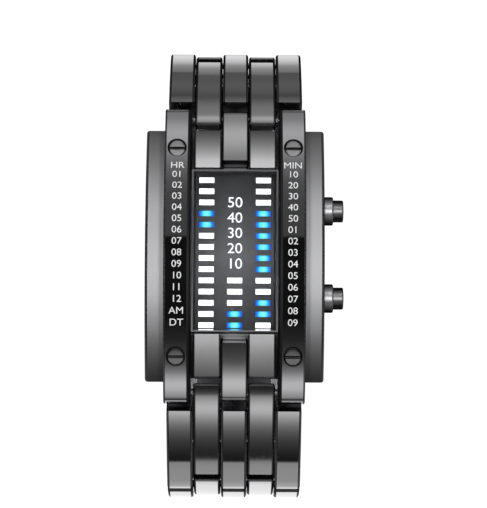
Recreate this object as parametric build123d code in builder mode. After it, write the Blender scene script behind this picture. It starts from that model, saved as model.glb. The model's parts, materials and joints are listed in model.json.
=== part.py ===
"""Binary wristwatch with a steel case, a light-emitting display and a bracelet closed by a folding clasp.

Millimetres. +Z is the way the dial faces, +Y points to twelve o'clock and +X to three o'clock.
The origin is the centre of the case back's outer face, so the bracelet hangs below it.
"""
from math import asin, cos, radians, sin, sqrt
import os

from build123d import *

os.makedirs("parts", exist_ok=True)


def finish(piece, name):
    """Label a finished piece and write it to its own file."""
    piece.part.label = name
    export_step(piece.part, f"parts/{name}.step")
    solids = piece.part.solids()
    print(name, len(solids), "solids", round(piece.part.volume, 2), "mm3")


# Fits shared by every pair of pieces
seat_clearance = 0.02
running_clearance = 0.05
sliding_clearance = 0.06
open_pivot_clearance = 0.10
cut_overrun = 1.0

# Case
crown_rise = 2.8
shoulder_drop = 3.5
case_width = 33.3
case_length = 47.4
case_bottom = 0.6
case_edge_bevel = 0.5
case_foot_bevel = 1.2
case_end_flat = 0.2791
case_side_wall = 2.15
case_end_wall = 3.7
lug_room = 0.7

# Scale bars, the two long rails beside the window
scale_bar_width = 5.1
scale_bar_gap = 0.05
scale_bar_inner_bevel = 0.8
scale_bar_outer_bevel = 0.35
scale_screw_end_inset = 4.2
scale_screw_head_radius = 1.55
scale_screw_recess_radius = 1.80
scale_screw_head_height = 1.0
scale_screw_drop = 5.3
scale_screw_shank_radius = 0.8
scale_screw_tip = 1.8
screw_slot_width = 0.35
screw_slot_depth = 0.40

# End blocks and centre lugs between the scale bars
end_block_gap = 0.4
end_block_drop = 0.15
end_block_bevel = 0.3
centre_lug_gap = 1.3
centre_lug_drop = 0.5

# Lugs and the hinge pins that carry the bracelet
lug_reach = 1.9
eye_radius = 2.2
nose_radius = 1.7
hinge_pin_radius = 0.6
pin_end_inset = 0.15

# Bracelet links
link_pitch = 20.3
link_arch = 1.2
end_gap = 0.55
centre_bar_width = 4.85
column_inset = 0.395
outer_bar_width = 4.85
bar_gap = 0.13
bar_bevel = 0.45
cross_pin_radius = 0.5
upper_link_angles = (-48, -97, -152)
lower_link_angles = (-42, -90)

# Folding clasp
clasp_floor = 1.0
clasp_drop = 3.6
clasp_wall = 1.0
clasp_wall_rise = 1.3
clasp_edge_bevel = 0.6
clasp_end_gap = 0.7
cover_end_margin = 0.4
fold_pin_offset = 4.5
fold_pin_drop = 1.45
blade_pin_offset = 16.0
blade_pin_drop = 0.72
blade_thickness = 0.8
blade_inset = 0.105
knuckle_radius = 1.05
knuckle_gap = 0.2
clasp_pin_radius = 0.45
centre_knuckle_width = 6.0

# Display window
glass_rise = 4.5
bezel_rise = 0.1
bezel_end_inset = 8.6
bezel_width = 16.0
bezel_lip = 0.3
bezel_ledge = 0.30
glass_thickness = 1.3
glass_bevel = 0.15
glass_gasket_thickness = 0.3
mask_plate_thickness = 0.5
mask_rim = 0.25
board_thickness = 0.8
board_ledge = 0.25

# Light-emitting display: two columns of fourteen windows and one of five
led_window_width = 2.8
led_window_height = 1.04
led_rows = 14
led_short_rows = 5
led_top_margin = 1.2
led_bottom_margin = 0.76
led_side_margin = 2.14
led_chip_width = 1.6
led_chip_height = 0.8
led_chip_thickness = 0.7
lens_thickness = 0.4

# Movement inside the case
back_side_rim = 3.3
back_end_rim = 3.5
holder_wall = 1.2
holder_cover = 0.2
cell_thickness = 1.6
cell_foot_gap = 0.1
board_gap = 0.9
contact_thickness = 0.15
contact_width = 4.0
controller_size = 6.0
controller_thickness = 0.55
oscillator_radius = 0.75
oscillator_length = 6.0
oscillator_gap = 2.05

# Case back
back_thickness = 1.2
back_corner_radius = 3.0
back_screw_gap = 1.1
back_screw_head_radius = 0.95
back_screw_head_height = 0.5
back_screw_shank_radius = 0.55
back_screw_length = 2.6
back_slot_width = 0.25
back_slot_depth = 0.25
back_gasket_width = 0.6
back_gasket_depth = 0.4

# Pushers at the side of the case
pusher_y = 8.2
pusher_z = 4.3
pusher_collar_radius = 2.67
pusher_collar_length = 1.65
pusher_shank_radius = 2.5
pusher_cap_radius = 2.05
pusher_cap_rise = 1.95
pusher_cap_bevel = 0.3
pusher_travel = 0.9
pusher_cap_depth = 1.4
pusher_spring_room = 0.8
pusher_neck_radius = 1.3
pusher_neck_length = 1.4
pusher_stem_radius = 0.7
pusher_chamber_radius = 1.6
pusher_clip_radius = 1.25
pusher_clip_groove_radius = 0.45
pusher_clip_thickness = 0.3
pusher_seal_radius = 1.2
pusher_seal_thickness = 0.4
spring_wire = 0.24
spring_coil_radius = 1.6
spring_turns = 3

# Levels worked out from the sizes above, from the case back up through the cells to the crown
cell_foot = back_thickness + cell_foot_gap
cells_top = cell_foot + 2 * cell_thickness
cavity_ceiling = cells_top + holder_cover
bezel_seat = cells_top + board_gap
glass_top = bezel_seat + glass_rise
crown_height = glass_top + crown_rise
scale_screw_head_top = crown_height - scale_screw_drop

# Arcs of the case, from the height of its shoulders in the middle and at the ends
foot_z = case_bottom + case_foot_bevel
shoulder_z = foot_z + case_end_flat
shoulder_rise = crown_height - shoulder_drop - shoulder_z
case_arc_radius = ((case_length / 2) ** 2 + shoulder_rise ** 2) / (2 * shoulder_rise)
bar_arc_radius = case_arc_radius + shoulder_drop
arc_centre_z = crown_height - bar_arc_radius

# Places worked out from the sizes above, from the case's walls in to the cells
back_width = case_width - 2 * case_side_wall
back_length = case_length - 2 * case_end_wall
cavity_width = back_width - 2 * back_side_rim
cavity_length = back_length - 2 * back_end_rim
cell_radius = cavity_width / 2 - holder_wall
oscillator_y = cell_radius + oscillator_radius + oscillator_gap
back_screw_x = cavity_width / 2 + back_gasket_width + back_screw_gap
back_screw_y = cavity_length / 2 + back_gasket_width + back_screw_gap
bezel_length = case_length - 2 * bezel_end_inset
end_block_start = bezel_length / 2 + end_block_gap
centre_lug_start = bezel_length / 2 + centre_lug_gap
scale_bar_inner_edge = bezel_width / 2 + scale_bar_gap
scale_bar_outer_edge = scale_bar_inner_edge + scale_bar_width
scale_screw_y = case_length / 2 - scale_screw_end_inset
lug_pin_y = case_length / 2 + lug_reach
pusher_bore_depth = pusher_cap_depth + pusher_travel + pusher_spring_room
case_half_width = case_width / 2
case_half_length = case_length / 2
lug_arc_radius = bar_arc_radius - eye_radius
lug_pin_turn = asin(lug_pin_y / lug_arc_radius)
lug_pin_z = arc_centre_z + lug_arc_radius * cos(lug_pin_turn)
centre_lug_half = eye_radius - centre_lug_drop
centre_edge = centre_bar_width / 2
inner_start = centre_edge + bar_gap
inner_end = bezel_width / 2 - column_inset
inner_bar_width = inner_end - inner_start
blade_width = 2 * (inner_end - blade_inset)
outer_start = inner_end + bar_gap
outer_end = outer_start + outer_bar_width


def arc_z(radius, y):
    """Height of the case's arcs, which share one centre, at a distance y from the middle."""
    return arc_centre_z + sqrt(radius ** 2 - y ** 2)


# Pin places along both halves of the bracelet, in the plane of the loop
def follow_chain(start, angles, side):
    """Pin places from the lug outwards; side is 1 above the dial and -1 below it."""
    places = [start]
    for angle in angles:
        y, z = places[-1]
        turn = radians(angle)
        places.append((y + side * link_pitch * cos(turn), z + link_pitch * sin(turn)))
    return places


upper_pins = follow_chain((lug_pin_y, lug_pin_z), upper_link_angles, 1)
lower_pins = follow_chain((-lug_pin_y, lug_pin_z), lower_link_angles, -1)
last_drop = upper_pins[-1][1] - lower_pins[-1][1]
last_run = sqrt(link_pitch ** 2 - last_drop ** 2)
lower_pins.append((lower_pins[-1][0] + last_run, upper_pins[-1][1]))
clasp_y, clasp_z = upper_pins[-1]
clasp_far_y = lower_pins[-1][0]
fold_pin = (clasp_far_y + fold_pin_offset, clasp_z - fold_pin_drop)
blade_pin = (clasp_y - blade_pin_offset, clasp_z - blade_pin_drop)
for title, places in (("upper pins", upper_pins), ("lower pins", lower_pins)):
    print(title, [(round(y, 3), round(z, 3)) for y, z in places])
print("fold pin", [round(v, 3) for v in fold_pin], "blade pin", [round(v, 3) for v in blade_pin])

across = Plane.YZ


def round_bar(place, radius, start, end, mode=Mode.ADD):
    """Add or cut a round bar along X, centred on a place in the plane of the loop."""
    with BuildSketch(across.offset(start)) as outline:
        with Locations(place):
            Circle(radius)
    extrude(outline.sketch, amount=end - start, mode=mode)


def block(width, length, low, high, mode=Mode.ADD, centre=(0, 0), corner=0):
    """Add or cut an upright block between two heights, with rounded corners where it has them."""
    with BuildSketch(Plane.XY.offset(low)) as outline:
        with Locations(centre):
            if corner > 0:
                RectangleRounded(width, length, corner)
            else:
                Rectangle(width, length)
    extrude(outline.sketch, amount=high - low, mode=mode)


def upright_round(radius, low, high, places, mode=Mode.ADD):
    """Add or cut upright round posts between two heights."""
    with BuildSketch(Plane.XY.offset(low)) as outline:
        with Locations(*places):
            Circle(radius)
    extrude(outline.sketch, amount=high - low, mode=mode)


def four_corners(x, y):
    """The four corners of a rectangle centred on the origin."""
    return [(x, y), (-x, y), (-x, -y), (x, -y)]


def dome_strip(outer_radius, inner_radius, y_start, y_end, start):
    """A strip between two of the case's concentric arcs, drawn in the plane of the loop."""
    y_middle = (y_start + y_end) / 2
    with BuildSketch(across.offset(start)) as outline:
        with BuildLine():
            top_start = (y_start, arc_z(outer_radius, y_start))
            top_end = (y_end, arc_z(outer_radius, y_end))
            low_start = (y_start, arc_z(inner_radius, y_start))
            low_end = (y_end, arc_z(inner_radius, y_end))
            ThreePointArc(top_start, (y_middle, arc_z(outer_radius, y_middle)), top_end)
            Line(top_end, low_end)
            ThreePointArc(low_end, (y_middle, arc_z(inner_radius, y_middle)), low_start)
            Line(low_start, top_start)
        make_face()
    return outline.sketch


def case_point(radius, turn):
    """A point on one of the case's arcs, at an angle from the dial's normal."""
    return (radius * sin(turn), arc_centre_z + radius * cos(turn))


def lug_end(half_thickness, side):
    """Outer, outermost and inner points of a strip's round end about a lug pin."""
    turn = side * lug_pin_turn
    centre = case_point(lug_arc_radius, turn)
    tip = (
        centre[0] + side * half_thickness * cos(turn),
        centre[1] - side * half_thickness * sin(turn),
    )
    outer = case_point(lug_arc_radius + half_thickness, turn)
    inner = case_point(lug_arc_radius - half_thickness, turn)
    return outer, tip, inner


# Case middle: the domed block with its two side shoulders, open at the window and at the back
core_half_length = case_half_length - lug_room
opening_inset = bezel_lip + bezel_ledge + board_ledge
scale_flat_inner = scale_bar_inner_edge + scale_bar_inner_bevel
scale_flat_outer = scale_bar_outer_edge - scale_bar_outer_bevel
scale_screw_x = (scale_flat_inner + scale_flat_outer) / 2
shank_inner_x = case_half_width - pusher_bore_depth + pusher_collar_length - pusher_seal_thickness
neck_inner_x = shank_inner_x - pusher_neck_length
with BuildPart() as case_middle:
    with BuildSketch(across.offset(-case_half_width)):
        with BuildLine():
            foot_y = case_half_length - case_foot_bevel
            Polyline(
                (-case_half_length, shoulder_z),
                (-case_half_length, foot_z),
                (-foot_y, case_bottom),
                (foot_y, case_bottom),
                (case_half_length, foot_z),
                (case_half_length, shoulder_z),
            )
            ThreePointArc(
                (case_half_length, shoulder_z),
                (0, arc_z(case_arc_radius, 0)),
                (-case_half_length, shoulder_z),
            )
        make_face()
    extrude(amount=case_width)
    chamfer(case_middle.edges().filter_by(GeomType.CIRCLE), case_edge_bevel)
    # Its core stops short of the shoulders, which leaves room for the lugs
    for side in (-1, 1):
        block(
            2 * (scale_bar_outer_edge + seat_clearance),
            2 * lug_room,
            case_bottom - cut_overrun,
            crown_height,
            Mode.SUBTRACT,
            (0, side * (core_half_length + lug_room)),
        )
    # Grooves that the scale bars and the centre lugs lie in
    groove_end = core_half_length + lug_room
    groove_inner = bezel_width / 2 + seat_clearance
    groove_outer = scale_bar_outer_edge + seat_clearance
    for start in (groove_inner, -groove_outer):
        groove = dome_strip(bar_arc_radius, lug_arc_radius - eye_radius, -groove_end, groove_end, start)
        extrude(groove, amount=groove_outer - groove_inner, mode=Mode.SUBTRACT)
    for side in (-1, 1):
        groove = dome_strip(
            bar_arc_radius,
            lug_arc_radius - centre_lug_half,
            side * end_block_start,
            side * groove_end,
            -centre_edge - seat_clearance,
        )
        extrude(groove, amount=2 * (centre_edge + seat_clearance), mode=Mode.SUBTRACT)
    # Pocket of the window frame, the opening under the board, the battery chamber and the back's seat
    block(
        bezel_width + 2 * seat_clearance,
        bezel_length + 2 * seat_clearance,
        bezel_seat,
        crown_height,
        Mode.SUBTRACT,
    )
    block(
        bezel_width - 2 * opening_inset,
        bezel_length - 2 * opening_inset,
        cavity_ceiling - cut_overrun,
        crown_height,
        Mode.SUBTRACT,
    )
    block(
        cavity_width,
        cavity_length,
        back_thickness - cut_overrun,
        cavity_ceiling,
        Mode.SUBTRACT,
        corner=back_corner_radius,
    )
    block(
        back_width + 2 * seat_clearance,
        back_length + 2 * seat_clearance,
        case_bottom - cut_overrun,
        back_thickness,
        Mode.SUBTRACT,
        corner=back_corner_radius + seat_clearance,
    )
    block(
        cavity_width + 2 * (back_gasket_width + seat_clearance),
        cavity_length + 2 * (back_gasket_width + seat_clearance),
        back_thickness - cut_overrun,
        back_thickness + back_gasket_depth,
        Mode.SUBTRACT,
        corner=back_corner_radius + back_gasket_width,
    )
    # Room over the quartz oscillator, where the window's opening doesn't give it
    block(
        oscillator_length + 2 * seat_clearance,
        2 * (oscillator_radius + seat_clearance),
        bezel_seat - 2 * oscillator_radius - seat_clearance,
        bezel_seat,
        Mode.SUBTRACT,
        (0, oscillator_y),
    )
    # Screw holes
    upright_round(
        back_screw_shank_radius + seat_clearance,
        back_thickness - cut_overrun,
        back_screw_length + seat_clearance,
        four_corners(back_screw_x, back_screw_y),
        Mode.SUBTRACT,
    )
    upright_round(
        scale_screw_shank_radius + seat_clearance,
        scale_screw_tip - seat_clearance,
        crown_height,
        four_corners(scale_screw_x, scale_screw_y),
        Mode.SUBTRACT,
    )
    # Bores of the pusher tubes, stepped down to the neck and the chamber behind it
    for y in (-pusher_y, pusher_y):
        place = (y, pusher_z)
        outside = case_half_width + cut_overrun
        round_bar(place, pusher_shank_radius + seat_clearance, shank_inner_x, outside, Mode.SUBTRACT)
        round_bar(place, pusher_neck_radius + seat_clearance, neck_inner_x, outside, Mode.SUBTRACT)
        round_bar(place, pusher_chamber_radius, cavity_width / 2 - cut_overrun, neck_inner_x, Mode.SUBTRACT)
finish(case_middle, "case_middle")


# Scale bars: domed rails that carry the hour and minute marks, and end in the outer lugs
def make_scale_bar(name, side):
    """One rail; side is -1 for the hours, at nine o'clock, and 1 for the minutes."""
    bar_width = scale_bar_outer_edge - scale_bar_inner_edge
    start = scale_bar_inner_edge if side > 0 else -scale_bar_outer_edge
    upper_outer, upper_tip, upper_inner = lug_end(eye_radius, 1)
    lower_outer, lower_tip, lower_inner = lug_end(eye_radius, -1)
    with BuildPart() as scale_bar:
        with BuildSketch(across.offset(start)):
            with BuildLine():
                ThreePointArc(lower_outer, (0, arc_z(bar_arc_radius, 0)), upper_outer)
                ThreePointArc(upper_outer, upper_tip, upper_inner)
                ThreePointArc(upper_inner, (0, arc_z(lug_arc_radius - eye_radius, 0)), lower_inner)
                ThreePointArc(lower_inner, lower_tip, lower_outer)
            make_face()
        extrude(amount=bar_width)
        for edge_x, bevel in (
            (side * scale_bar_inner_edge, scale_bar_inner_bevel),
            (side * scale_bar_outer_edge, scale_bar_outer_bevel),
        ):
            rim = scale_bar.edges().filter_by(GeomType.CIRCLE).filter_by(
                lambda edge: abs(edge.center().X - edge_x) < seat_clearance
            )
            chamfer(rim, bevel)
        for place in ((lug_pin_y, lug_pin_z), (-lug_pin_y, lug_pin_z)):
            round_bar(
                place,
                hinge_pin_radius + seat_clearance,
                start - cut_overrun,
                start + bar_width + cut_overrun,
                Mode.SUBTRACT,
            )
        screw_places = [(side * scale_screw_x, scale_screw_y), (side * scale_screw_x, -scale_screw_y)]
        head_seat = scale_screw_head_top - scale_screw_head_height
        upright_round(scale_screw_recess_radius, head_seat, crown_height, screw_places, Mode.SUBTRACT)
        upright_round(
            scale_screw_shank_radius + seat_clearance,
            case_bottom,
            crown_height,
            screw_places,
            Mode.SUBTRACT,
        )
    finish(scale_bar, name)


make_scale_bar("hour_scale_bar", -1)
make_scale_bar("minute_scale_bar", 1)

# Slotted screws that hold the scale bars down
with BuildPart() as scale_bar_screws:
    corners = four_corners(scale_screw_x, scale_screw_y)
    head_seat = scale_screw_head_top - scale_screw_head_height
    upright_round(scale_screw_head_radius, head_seat, scale_screw_head_top, corners)
    upright_round(scale_screw_shank_radius, scale_screw_tip, scale_screw_head_top, corners)
    for corner in corners:
        block(
            2 * scale_screw_head_radius + cut_overrun,
            screw_slot_width,
            scale_screw_head_top - screw_slot_depth,
            crown_height,
            Mode.SUBTRACT,
            corner,
        )
finish(scale_bar_screws, "scale_bar_screws")


# End blocks and centre lugs, which close the case between the window and the bracelet
def make_case_ends(name, side):
    """Two end blocks over the inner columns and one centre lug between them."""
    with BuildPart() as end_blocks:
        for start in (-inner_end, inner_start):
            strip = dome_strip(
                bar_arc_radius - end_block_drop,
                case_arc_radius,
                side * end_block_start,
                side * core_half_length,
                start,
            )
            extrude(strip, amount=inner_bar_width)
        rim = end_blocks.edges().filter_by(GeomType.CIRCLE).filter_by(
            lambda edge: edge.radius > case_arc_radius + seat_clearance
        )
        chamfer(rim, end_block_bevel)
    finish(end_blocks, f"{name}_end_blocks")
    lug = (side * lug_pin_y, lug_pin_z)
    start_turn = side * asin(centre_lug_start / lug_arc_radius)
    middle_turn = (start_turn + side * lug_pin_turn) / 2
    lug_outer, lug_tip, lug_inner = lug_end(centre_lug_half, side)
    lug_outer_radius = lug_arc_radius + centre_lug_half
    lug_inner_radius = lug_arc_radius - centre_lug_half
    with BuildPart() as centre_lug:
        with BuildSketch(across.offset(-centre_edge)):
            with BuildLine():
                outer_start_point = case_point(lug_outer_radius, start_turn)
                inner_start_point = case_point(lug_inner_radius, start_turn)
                ThreePointArc(outer_start_point, case_point(lug_outer_radius, middle_turn), lug_outer)
                ThreePointArc(lug_outer, lug_tip, lug_inner)
                ThreePointArc(lug_inner, case_point(lug_inner_radius, middle_turn), inner_start_point)
                Line(inner_start_point, outer_start_point)
            make_face()
        extrude(amount=centre_bar_width)
        chamfer(centre_lug.edges().filter_by(GeomType.CIRCLE), end_block_bevel)
        round_bar(
            lug,
            hinge_pin_radius + seat_clearance,
            -centre_edge - cut_overrun,
            centre_edge + cut_overrun,
            Mode.SUBTRACT,
        )
    finish(centre_lug, f"{name}_centre_lug")
    with BuildPart() as lug_pin:
        pin_end = scale_bar_outer_edge - pin_end_inset
        round_bar(lug, hinge_pin_radius, -pin_end, pin_end)
    finish(lug_pin, f"{name}_lug_pin")


make_case_ends("upper", 1)
make_case_ends("lower", -1)

# Window frame: the thin bright line round the glass, with a ledge for the gasket
frame_inner_width = bezel_width - 2 * bezel_lip
frame_inner_length = bezel_length - 2 * bezel_lip
well_width = frame_inner_width - 2 * bezel_ledge
well_length = frame_inner_length - 2 * bezel_ledge
gasket_seat = glass_top - glass_thickness - glass_gasket_thickness
with BuildPart() as display_bezel:
    block(bezel_width, bezel_length, bezel_seat, glass_top + bezel_rise)
    block(frame_inner_width, frame_inner_length, gasket_seat, crown_height, Mode.SUBTRACT)
    block(well_width, well_length, bezel_seat - cut_overrun, crown_height, Mode.SUBTRACT)
finish(display_bezel, "display_bezel")

with BuildPart() as crystal:
    block(
        frame_inner_width - 2 * seat_clearance,
        frame_inner_length - 2 * seat_clearance,
        glass_top - glass_thickness,
        glass_top,
    )
    chamfer(crystal.faces().sort_by(Axis.Z)[-1].edges(), glass_bevel)
finish(crystal, "crystal")

with BuildPart() as crystal_gasket:
    gasket_top = gasket_seat + glass_gasket_thickness
    block(
        frame_inner_width - 2 * seat_clearance,
        frame_inner_length - 2 * seat_clearance,
        gasket_seat,
        gasket_top,
    )
    block(well_width, well_length, gasket_seat - cut_overrun, gasket_top + cut_overrun, Mode.SUBTRACT)
finish(crystal_gasket, "crystal_gasket")

# Places of the lights, from the top row down
led_row_pitch = (well_length - led_top_margin - led_bottom_margin) / (led_rows - 1)
led_first_row_y = well_length / 2 - led_top_margin
led_column_spacing = well_width / 2 - led_side_margin
led_places = []
for row in range(led_rows):
    row_y = led_first_row_y - row * led_row_pitch
    led_places.append((-led_column_spacing, row_y))
    led_places.append((led_column_spacing, row_y))
    if row >= led_rows - led_short_rows:
        led_places.append((0, row_y))


def led_blocks(width, height, low, high, mode=Mode.ADD):
    """One small block at each light."""
    with BuildSketch(Plane.XY.offset(low)) as outline:
        with Locations(*led_places):
            Rectangle(width, height)
    extrude(outline.sketch, amount=high - low, mode=mode)


# Light mask: a dark tray with a window over each light, standing on the board
board_width = well_width - 2 * sliding_clearance
board_length = well_length - 2 * sliding_clearance
board_top = bezel_seat + board_thickness
mask_top = gasket_seat
mask_floor = mask_top - mask_plate_thickness
with BuildPart() as light_mask:
    block(board_width, board_length, board_top, mask_top)
    block(
        board_width - 2 * mask_rim,
        board_length - 2 * mask_rim,
        board_top - cut_overrun,
        mask_floor,
        Mode.SUBTRACT,
    )
    led_blocks(led_window_width, led_window_height, board_top, crown_height, Mode.SUBTRACT)
finish(light_mask, "light_mask")

with BuildPart() as led_lenses:
    led_blocks(
        led_window_width - 2 * seat_clearance,
        led_window_height - 2 * seat_clearance,
        mask_top - lens_thickness,
        mask_top,
    )
finish(led_lenses, "led_lenses")

with BuildPart() as led_board:
    block(board_width, board_length, bezel_seat, board_top)
finish(led_board, "led_board")

with BuildPart() as led_chips:
    led_blocks(led_chip_width, led_chip_height, board_top, board_top + led_chip_thickness)
finish(led_chips, "led_chips")

with BuildPart() as controller_chip:
    block(controller_size, controller_size, bezel_seat - controller_thickness, bezel_seat)
finish(controller_chip, "controller_chip")

# Quartz oscillator can, lying under the board beside the cells
with BuildPart() as quartz_oscillator:
    round_bar(
        (oscillator_y, bezel_seat - oscillator_radius),
        oscillator_radius,
        -oscillator_length / 2,
        oscillator_length / 2,
    )
finish(quartz_oscillator, "quartz_oscillator")

# Button cells, one on the other, in a plastic holder with a contact strip over them
with BuildPart() as button_cells:
    for level in (cell_foot, cell_foot + cell_thickness):
        upright_round(cell_radius, level, level + cell_thickness - seat_clearance, [(0, 0)])
finish(button_cells, "button_cells")

with BuildPart() as module_holder:
    block(
        cavity_width - 2 * sliding_clearance,
        cavity_length - 2 * sliding_clearance,
        cell_foot,
        cavity_ceiling - seat_clearance,
        corner=back_corner_radius,
    )
    upright_round(
        cell_radius + running_clearance,
        cell_foot - cut_overrun,
        cavity_ceiling + cut_overrun,
        [(0, 0)],
        Mode.SUBTRACT,
    )
    block(
        oscillator_length + cut_overrun,
        2 * oscillator_radius + sliding_clearance,
        bezel_seat - 2 * oscillator_radius - sliding_clearance,
        crown_height,
        Mode.SUBTRACT,
        (0, oscillator_y),
    )
    block(
        contact_width + 2 * sliding_clearance,
        cavity_length + cut_overrun,
        cells_top,
        crown_height,
        Mode.SUBTRACT,
    )
finish(module_holder, "module_holder")

with BuildPart() as battery_contact:
    block(contact_width, 2 * (cell_radius - contact_width), cells_top, cells_top + contact_thickness)
finish(battery_contact, "battery_contact")

# Case back, its gasket and its screws
with BuildPart() as case_back:
    block(back_width, back_length, 0, back_thickness, corner=back_corner_radius)
    chamfer(case_back.faces().sort_by(Axis.Z)[0].edges(), glass_bevel)
    corners = four_corners(back_screw_x, back_screw_y)
    shank_hole_radius = back_screw_shank_radius + seat_clearance
    upright_round(shank_hole_radius, -cut_overrun, crown_height, corners, Mode.SUBTRACT)
    upright_round(
        back_screw_head_radius + seat_clearance,
        -cut_overrun,
        back_screw_head_height,
        corners,
        Mode.SUBTRACT,
    )
finish(case_back, "case_back")

with BuildPart() as case_back_gasket:
    block(
        cavity_width + 2 * back_gasket_width,
        cavity_length + 2 * back_gasket_width,
        back_thickness,
        back_thickness + back_gasket_depth - seat_clearance,
        corner=back_corner_radius + back_gasket_width,
    )
    block(
        cavity_width,
        cavity_length,
        back_thickness - cut_overrun,
        crown_height,
        Mode.SUBTRACT,
        corner=back_corner_radius,
    )
finish(case_back_gasket, "case_back_gasket")

with BuildPart() as case_back_screws:
    corners = four_corners(back_screw_x, back_screw_y)
    upright_round(back_screw_head_radius, 0, back_screw_head_height - seat_clearance, corners)
    upright_round(back_screw_shank_radius, 0, back_screw_length, corners)
    for corner in corners:
        block(
            2 * back_screw_head_radius + cut_overrun,
            back_slot_width,
            -cut_overrun,
            back_slot_depth,
            Mode.SUBTRACT,
            corner,
        )
finish(case_back_screws, "case_back_screws")


# Pushers: a collared tube in the case, a seal, and a cap on a stem with a return spring and a clip
collar_face_x = case_half_width + pusher_collar_length
bore_floor_x = collar_face_x - pusher_bore_depth
cap_face_x = collar_face_x + pusher_cap_rise
cap_inner_x = collar_face_x - pusher_cap_depth
clip_outer_x = neck_inner_x - seat_clearance
clip_inner_x = clip_outer_x - pusher_clip_thickness
stem_tip_x = clip_inner_x - pusher_clip_thickness

with BuildPart() as pusher_tubes:
    for y in (-pusher_y, pusher_y):
        place = (y, pusher_z)
        round_bar(place, pusher_shank_radius, shank_inner_x, case_half_width)
        round_bar(place, pusher_collar_radius, case_half_width, collar_face_x)
        round_bar(place, pusher_neck_radius, neck_inner_x, shank_inner_x)
        round_bar(
            place,
            pusher_cap_radius + running_clearance,
            bore_floor_x,
            collar_face_x + cut_overrun,
            Mode.SUBTRACT,
        )
        round_bar(
            place,
            pusher_seal_radius,
            bore_floor_x - pusher_seal_thickness,
            bore_floor_x + cut_overrun,
            Mode.SUBTRACT,
        )
        round_bar(
            place,
            pusher_stem_radius + running_clearance,
            neck_inner_x - cut_overrun,
            collar_face_x,
            Mode.SUBTRACT,
        )
finish(pusher_tubes, "pusher_tubes")


def make_pusher(name, y):
    """One pusher: its seal, its cap and stem in one piece, its clip and its spring."""
    place = (y, pusher_z)
    with BuildPart() as seal:
        seal_outer_x = bore_floor_x - seat_clearance
        seal_inner_x = bore_floor_x - pusher_seal_thickness
        round_bar(place, pusher_seal_radius - seat_clearance, seal_inner_x, seal_outer_x)
        round_bar(
            place,
            pusher_stem_radius + seat_clearance,
            seal_inner_x - cut_overrun,
            seal_outer_x + cut_overrun,
            Mode.SUBTRACT,
        )
    finish(seal, f"{name}_pusher_seal")
    with BuildPart() as pusher:
        round_bar(place, pusher_cap_radius, cap_inner_x, cap_face_x)
        chamfer(pusher.faces().sort_by(Axis.X)[-1].edges(), pusher_cap_bevel)
        round_bar(place, pusher_stem_radius, stem_tip_x, cap_inner_x)
        round_bar(place, pusher_clip_radius, clip_inner_x, clip_outer_x, Mode.SUBTRACT)
        round_bar(place, pusher_clip_groove_radius, stem_tip_x, cap_inner_x)
    finish(pusher, f"{name}_pusher")
    with BuildPart() as clip:
        round_bar(place, pusher_clip_radius, clip_inner_x + seat_clearance, clip_outer_x)
        round_bar(
            place,
            pusher_clip_groove_radius + seat_clearance,
            stem_tip_x,
            clip_outer_x + cut_overrun,
            Mode.SUBTRACT,
        )
    finish(clip, f"{name}_pusher_clip")
    spring_length = cap_inner_x - bore_floor_x - 2 * (running_clearance + spring_wire)
    spring_start = (bore_floor_x + running_clearance + spring_wire, y, pusher_z)
    with BuildPart() as spring:
        with BuildLine():
            coil = Helix(
                spring_length / spring_turns,
                spring_length,
                spring_coil_radius,
                center=spring_start,
                direction=(1, 0, 0),
            )
        with BuildSketch(Plane(origin=coil @ 0, z_dir=coil % 0, x_dir=(1, 0, 0))):
            Rectangle(spring_wire, spring_wire)
        sweep(is_frenet=True)
    finish(spring, f"{name}_pusher_spring")


make_pusher("upper", pusher_y)
make_pusher("lower", -pusher_y)


# Bracelet links: five arched bars side by side. The odd ones carry the far pin, the even ones the near pin.
arch_radius = ((link_pitch / 2) ** 2 + link_arch ** 2) / (2 * link_arch)
pin_turn = asin(link_pitch / 2 / arch_radius)
far_cut_turn = asin((link_pitch / 2 - eye_radius - end_gap) / arch_radius)


def arch_point(radius, turn):
    """A point on an arc round the arch's centre, at an angle from the middle of the link."""
    return (link_pitch / 2 + radius * sin(turn), link_arch - arch_radius + radius * cos(turn))


def bar_outline(plane, half_thickness, side):
    """Side view of a bar, round about its pin; side is 1 with the round end far, -1 with it near."""
    outer = arch_radius + half_thickness
    inner = arch_radius - half_thickness
    cut_turn = -side * far_cut_turn
    round_turn = side * pin_turn
    middle_turn = (cut_turn + round_turn) / 2
    pin_point = arch_point(arch_radius, round_turn)
    tip = (
        pin_point[0] + side * half_thickness * cos(round_turn),
        pin_point[1] - side * half_thickness * sin(round_turn),
    )
    with BuildSketch(plane) as outline:
        with BuildLine():
            outer_cut = arch_point(outer, cut_turn)
            outer_round = arch_point(outer, round_turn)
            inner_round = arch_point(inner, round_turn)
            inner_cut = arch_point(inner, cut_turn)
            ThreePointArc(outer_cut, arch_point(outer, middle_turn), outer_round)
            ThreePointArc(outer_round, tip, inner_round)
            ThreePointArc(inner_round, arch_point(inner, middle_turn), inner_cut)
            Line(inner_cut, outer_cut)
        make_face()
    return outline.sketch


def link_bars(plane, columns, width, half_thickness, side, bore_radius):
    """Equal bars at their columns, bevelled, with a bore for the hinge pin and one for the cross pin."""
    bars = []
    for start in columns:
        with BuildPart() as bar:
            extrude(bar_outline(plane.offset(start), half_thickness, side), amount=width)
            rim = bar.edges().filter_by(GeomType.CIRCLE)
            chamfer(rim, bar_bevel)
        bars.append(bar.part)
    with BuildPart() as group:
        for bar in bars:
            add(bar)
        pin_place = arch_point(arch_radius, side * pin_turn)
        for place, radius in ((pin_place, bore_radius), ((link_pitch / 2, link_arch), cross_bore_radius)):
            with BuildSketch(plane.offset(-outer_end - cut_overrun)) as bore:
                with Locations(place):
                    Circle(radius)
            extrude(bore.sketch, amount=2 * (outer_end + cut_overrun), mode=Mode.SUBTRACT)
    return group


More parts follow.
